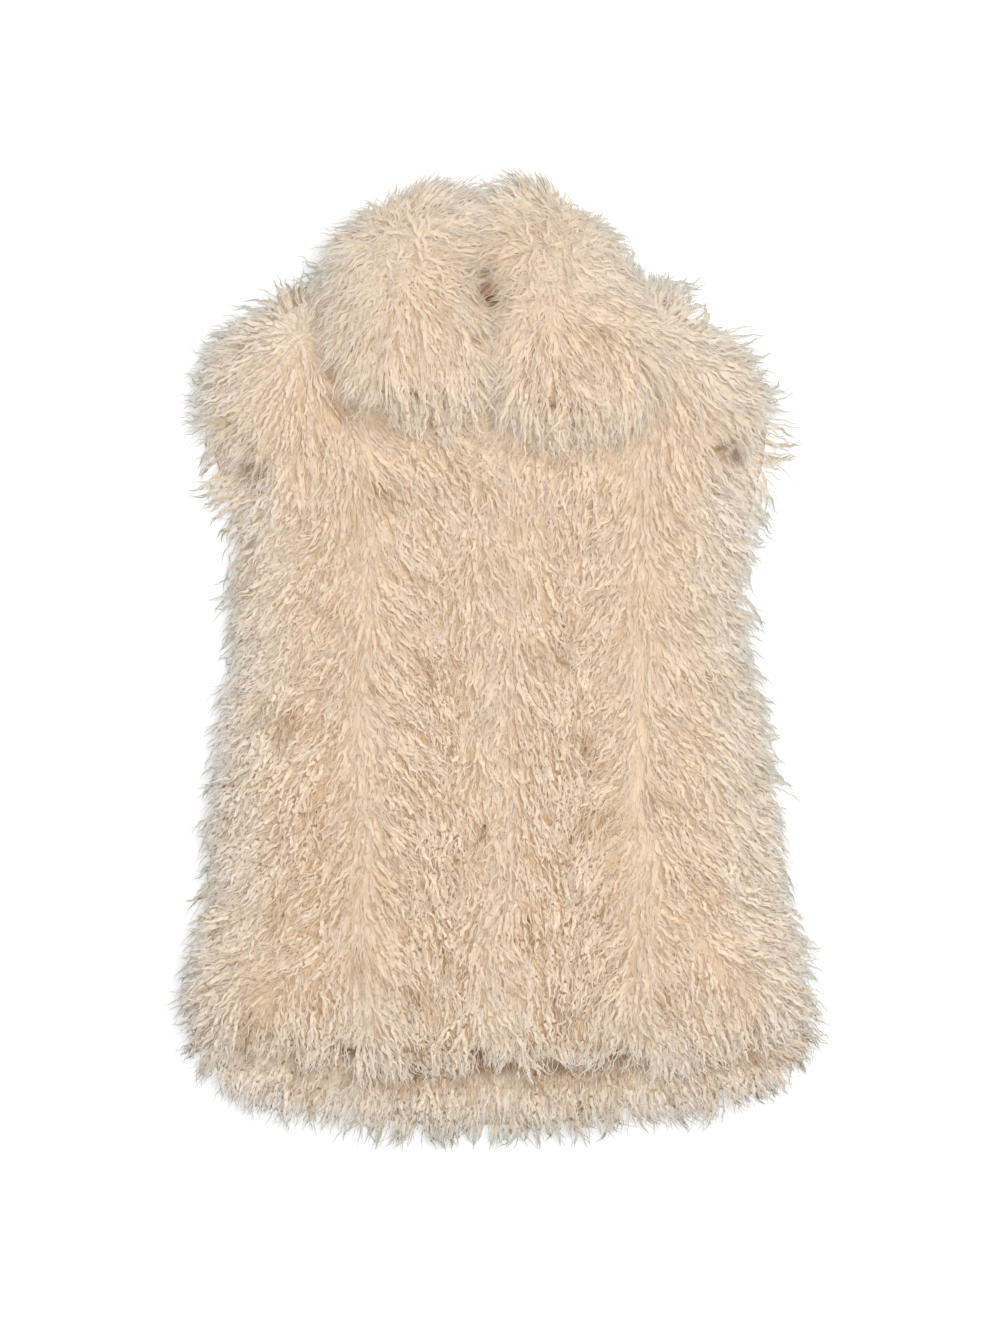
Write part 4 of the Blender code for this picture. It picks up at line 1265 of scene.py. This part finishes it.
def grow_fur(context, name, coats, density):
    """Grows the coats of some pieces in one material, for their operator."""
    fur, colours, _ = vest_settings(context)
    material = lock_material(name, colours)
    for coat in coats:
        grow_coat(coat, density, material, fur)
    return {"FINISHED"}


def place_in(scene, name, data):
    made = bpy.data.objects.new(name, data)
    scene.collection.objects.link(made)
    return made


class VEST_OT_lay_skins(bpy.types.Operator):
    """Lays the skins of the back, the fronts and the collar halves just inside their solids"""
    bl_idname = "vest.lay_skins"
    bl_label = "Lay Skins"

    def execute(self, context):
        fur, colours, _ = vest_settings(context)
        material = underfur_material(colours)
        for skin in SKINS:
            outer, under, edge, seam = loft(skin, fur)
            piece = add_piece(closed_skin(skin.node, outer, under), material)
            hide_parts(skin.node)
            LAID[skin.node] = Laid(skin, piece, outer, outward_normals(outer), edge, seam)
        return {"FINISHED"}


class VEST_OT_grow_front_fur(bpy.types.Operator):
    """Grows the fur of the fronts down and out from its three partings"""
    bl_idname = "vest.grow_front_fur"
    bl_label = "Grow Front Fur"

    def execute(self, context):
        return grow_fur(context, "vest_front_fur", FRONT_COATS, front_density)


class VEST_OT_grow_collar_fur(bpy.types.Operator):
    """Grows the fur of the collar out from the crown of each half"""
    bl_idname = "vest.grow_collar_fur"
    bl_label = "Grow Collar Fur"

    def execute(self, context):
        return grow_fur(context, "vest_collar_fur", COLLAR_COATS, collar_density)


class VEST_OT_grow_back_fur(bpy.types.Operator):
    """Grows the fur of the back where it shows, most of it at the hem"""
    bl_idname = "vest.grow_back_fur"
    bl_label = "Grow Back Fur"

    def execute(self, context):
        return grow_fur(context, "vest_back_fur", BACK_COATS, back_density)


class VEST_OT_declare_cloth(bpy.types.Operator):
    """Does nothing and finishes at once"""
    bl_idname = "vest.declare_cloth"
    bl_label = "Declare Cloth"

    def execute(self, context):
        return {"FINISHED"}


class VEST_OT_set_studio(bpy.types.Operator):
    """Sets a pale floor, soft light and a camera looking straight down"""
    bl_idname = "vest.set_studio"
    bl_label = "Set Studio"

    def execute(self, context):
        scene = context.scene
        _, colours, stage = vest_settings(context)
        bpy.ops.object.select_all(action="DESELECT")
        bpy.ops.mesh.primitive_plane_add(size=FLOOR_SIZE)
        floor = context.object
        floor.name = "studio_floor"
        material, _, shader = new_material("studio_floor")
        shader.inputs["Base Color"].default_value = rgba(colours.floor)
        shader.inputs["Roughness"].default_value = FLOOR_ROUGHNESS
        floor.data.materials.append(material)

        light = bpy.data.lights.new("studio_key", "AREA")
        light.shape = "DISK"
        light.size = KEY_SIZE
        light.energy = stage.key_power
        key = place_in(scene, "studio_key", light)
        key.location = KEY_PLACE
        key.rotation_euler = (-key.location).to_track_quat("-Z", "Y").to_euler()
        light = bpy.data.lights.new("studio_fill", "SUN")
        light.energy = stage.fill
        light.use_shadow = False
        place_in(scene, "studio_fill", light)

        scene.world = scene.world or bpy.data.worlds.new("studio")
        scene.world.use_nodes = True
        background = scene.world.node_tree.nodes["Background"]
        background.inputs["Color"].default_value = rgba(1.0)
        background.inputs["Strength"].default_value = stage.sky
        scene.view_settings.view_transform = "Standard"

        lens = bpy.data.cameras.new("vest_camera")
        lens.lens = stage.lens
        scene.camera = place_in(scene, "vest_camera", lens)
        height = stage.lens / lens.sensor_width * FRAME_HEIGHT_PX * PIXEL
        scene.camera.location = (stage.view_x, stage.view_y, CAD_BOUNDS[1][2] * FRAME_SHARE + height)
        return {"FINISHED"}


class VEST_PT_build(bpy.types.Panel):
    """Lists the steps and settings of the fur vest"""
    bl_idname = "VEST_PT_build"
    bl_label = "Fur Vest"
    bl_space_type = "VIEW_3D"
    bl_region_type = "UI"
    bl_category = "Fur Vest"

    def draw(self, context):
        for step in STEPS:
            self.layout.operator(step.bl_idname)
        for settings in vest_settings(context):
            box = self.layout.box()
            for name in settings.__annotations__:
                box.prop(settings, name)


SETTINGS = {"fur_vest_fur": FurVestFur, "fur_vest_colours": FurVestColours, "fur_vest_stage": FurVestStage}
STEPS = [VEST_OT_set_studio, VEST_OT_lay_skins, VEST_OT_grow_front_fur, VEST_OT_grow_collar_fur,
         VEST_OT_grow_back_fur, VEST_OT_declare_cloth]
CLASSES = [*SETTINGS.values(), *STEPS, VEST_PT_build]


def register():
    for made in CLASSES:
        bpy.utils.register_class(made)
    for name, made in SETTINGS.items():
        setattr(bpy.types.Scene, name, PointerProperty(type=made))


def unregister():
    for name in SETTINGS:
        delattr(bpy.types.Scene, name)
    for made in reversed(CLASSES):
        bpy.utils.unregister_class(made)


def main():
    register()
    bpy.ops.vest.set_studio()
    bpy.ops.vest.lay_skins()
    bpy.ops.vest.grow_front_fur()
    bpy.ops.vest.grow_collar_fur()
    bpy.ops.vest.grow_back_fur()
    bpy.ops.vest.declare_cloth()


if __name__ == "__main__":
    main()
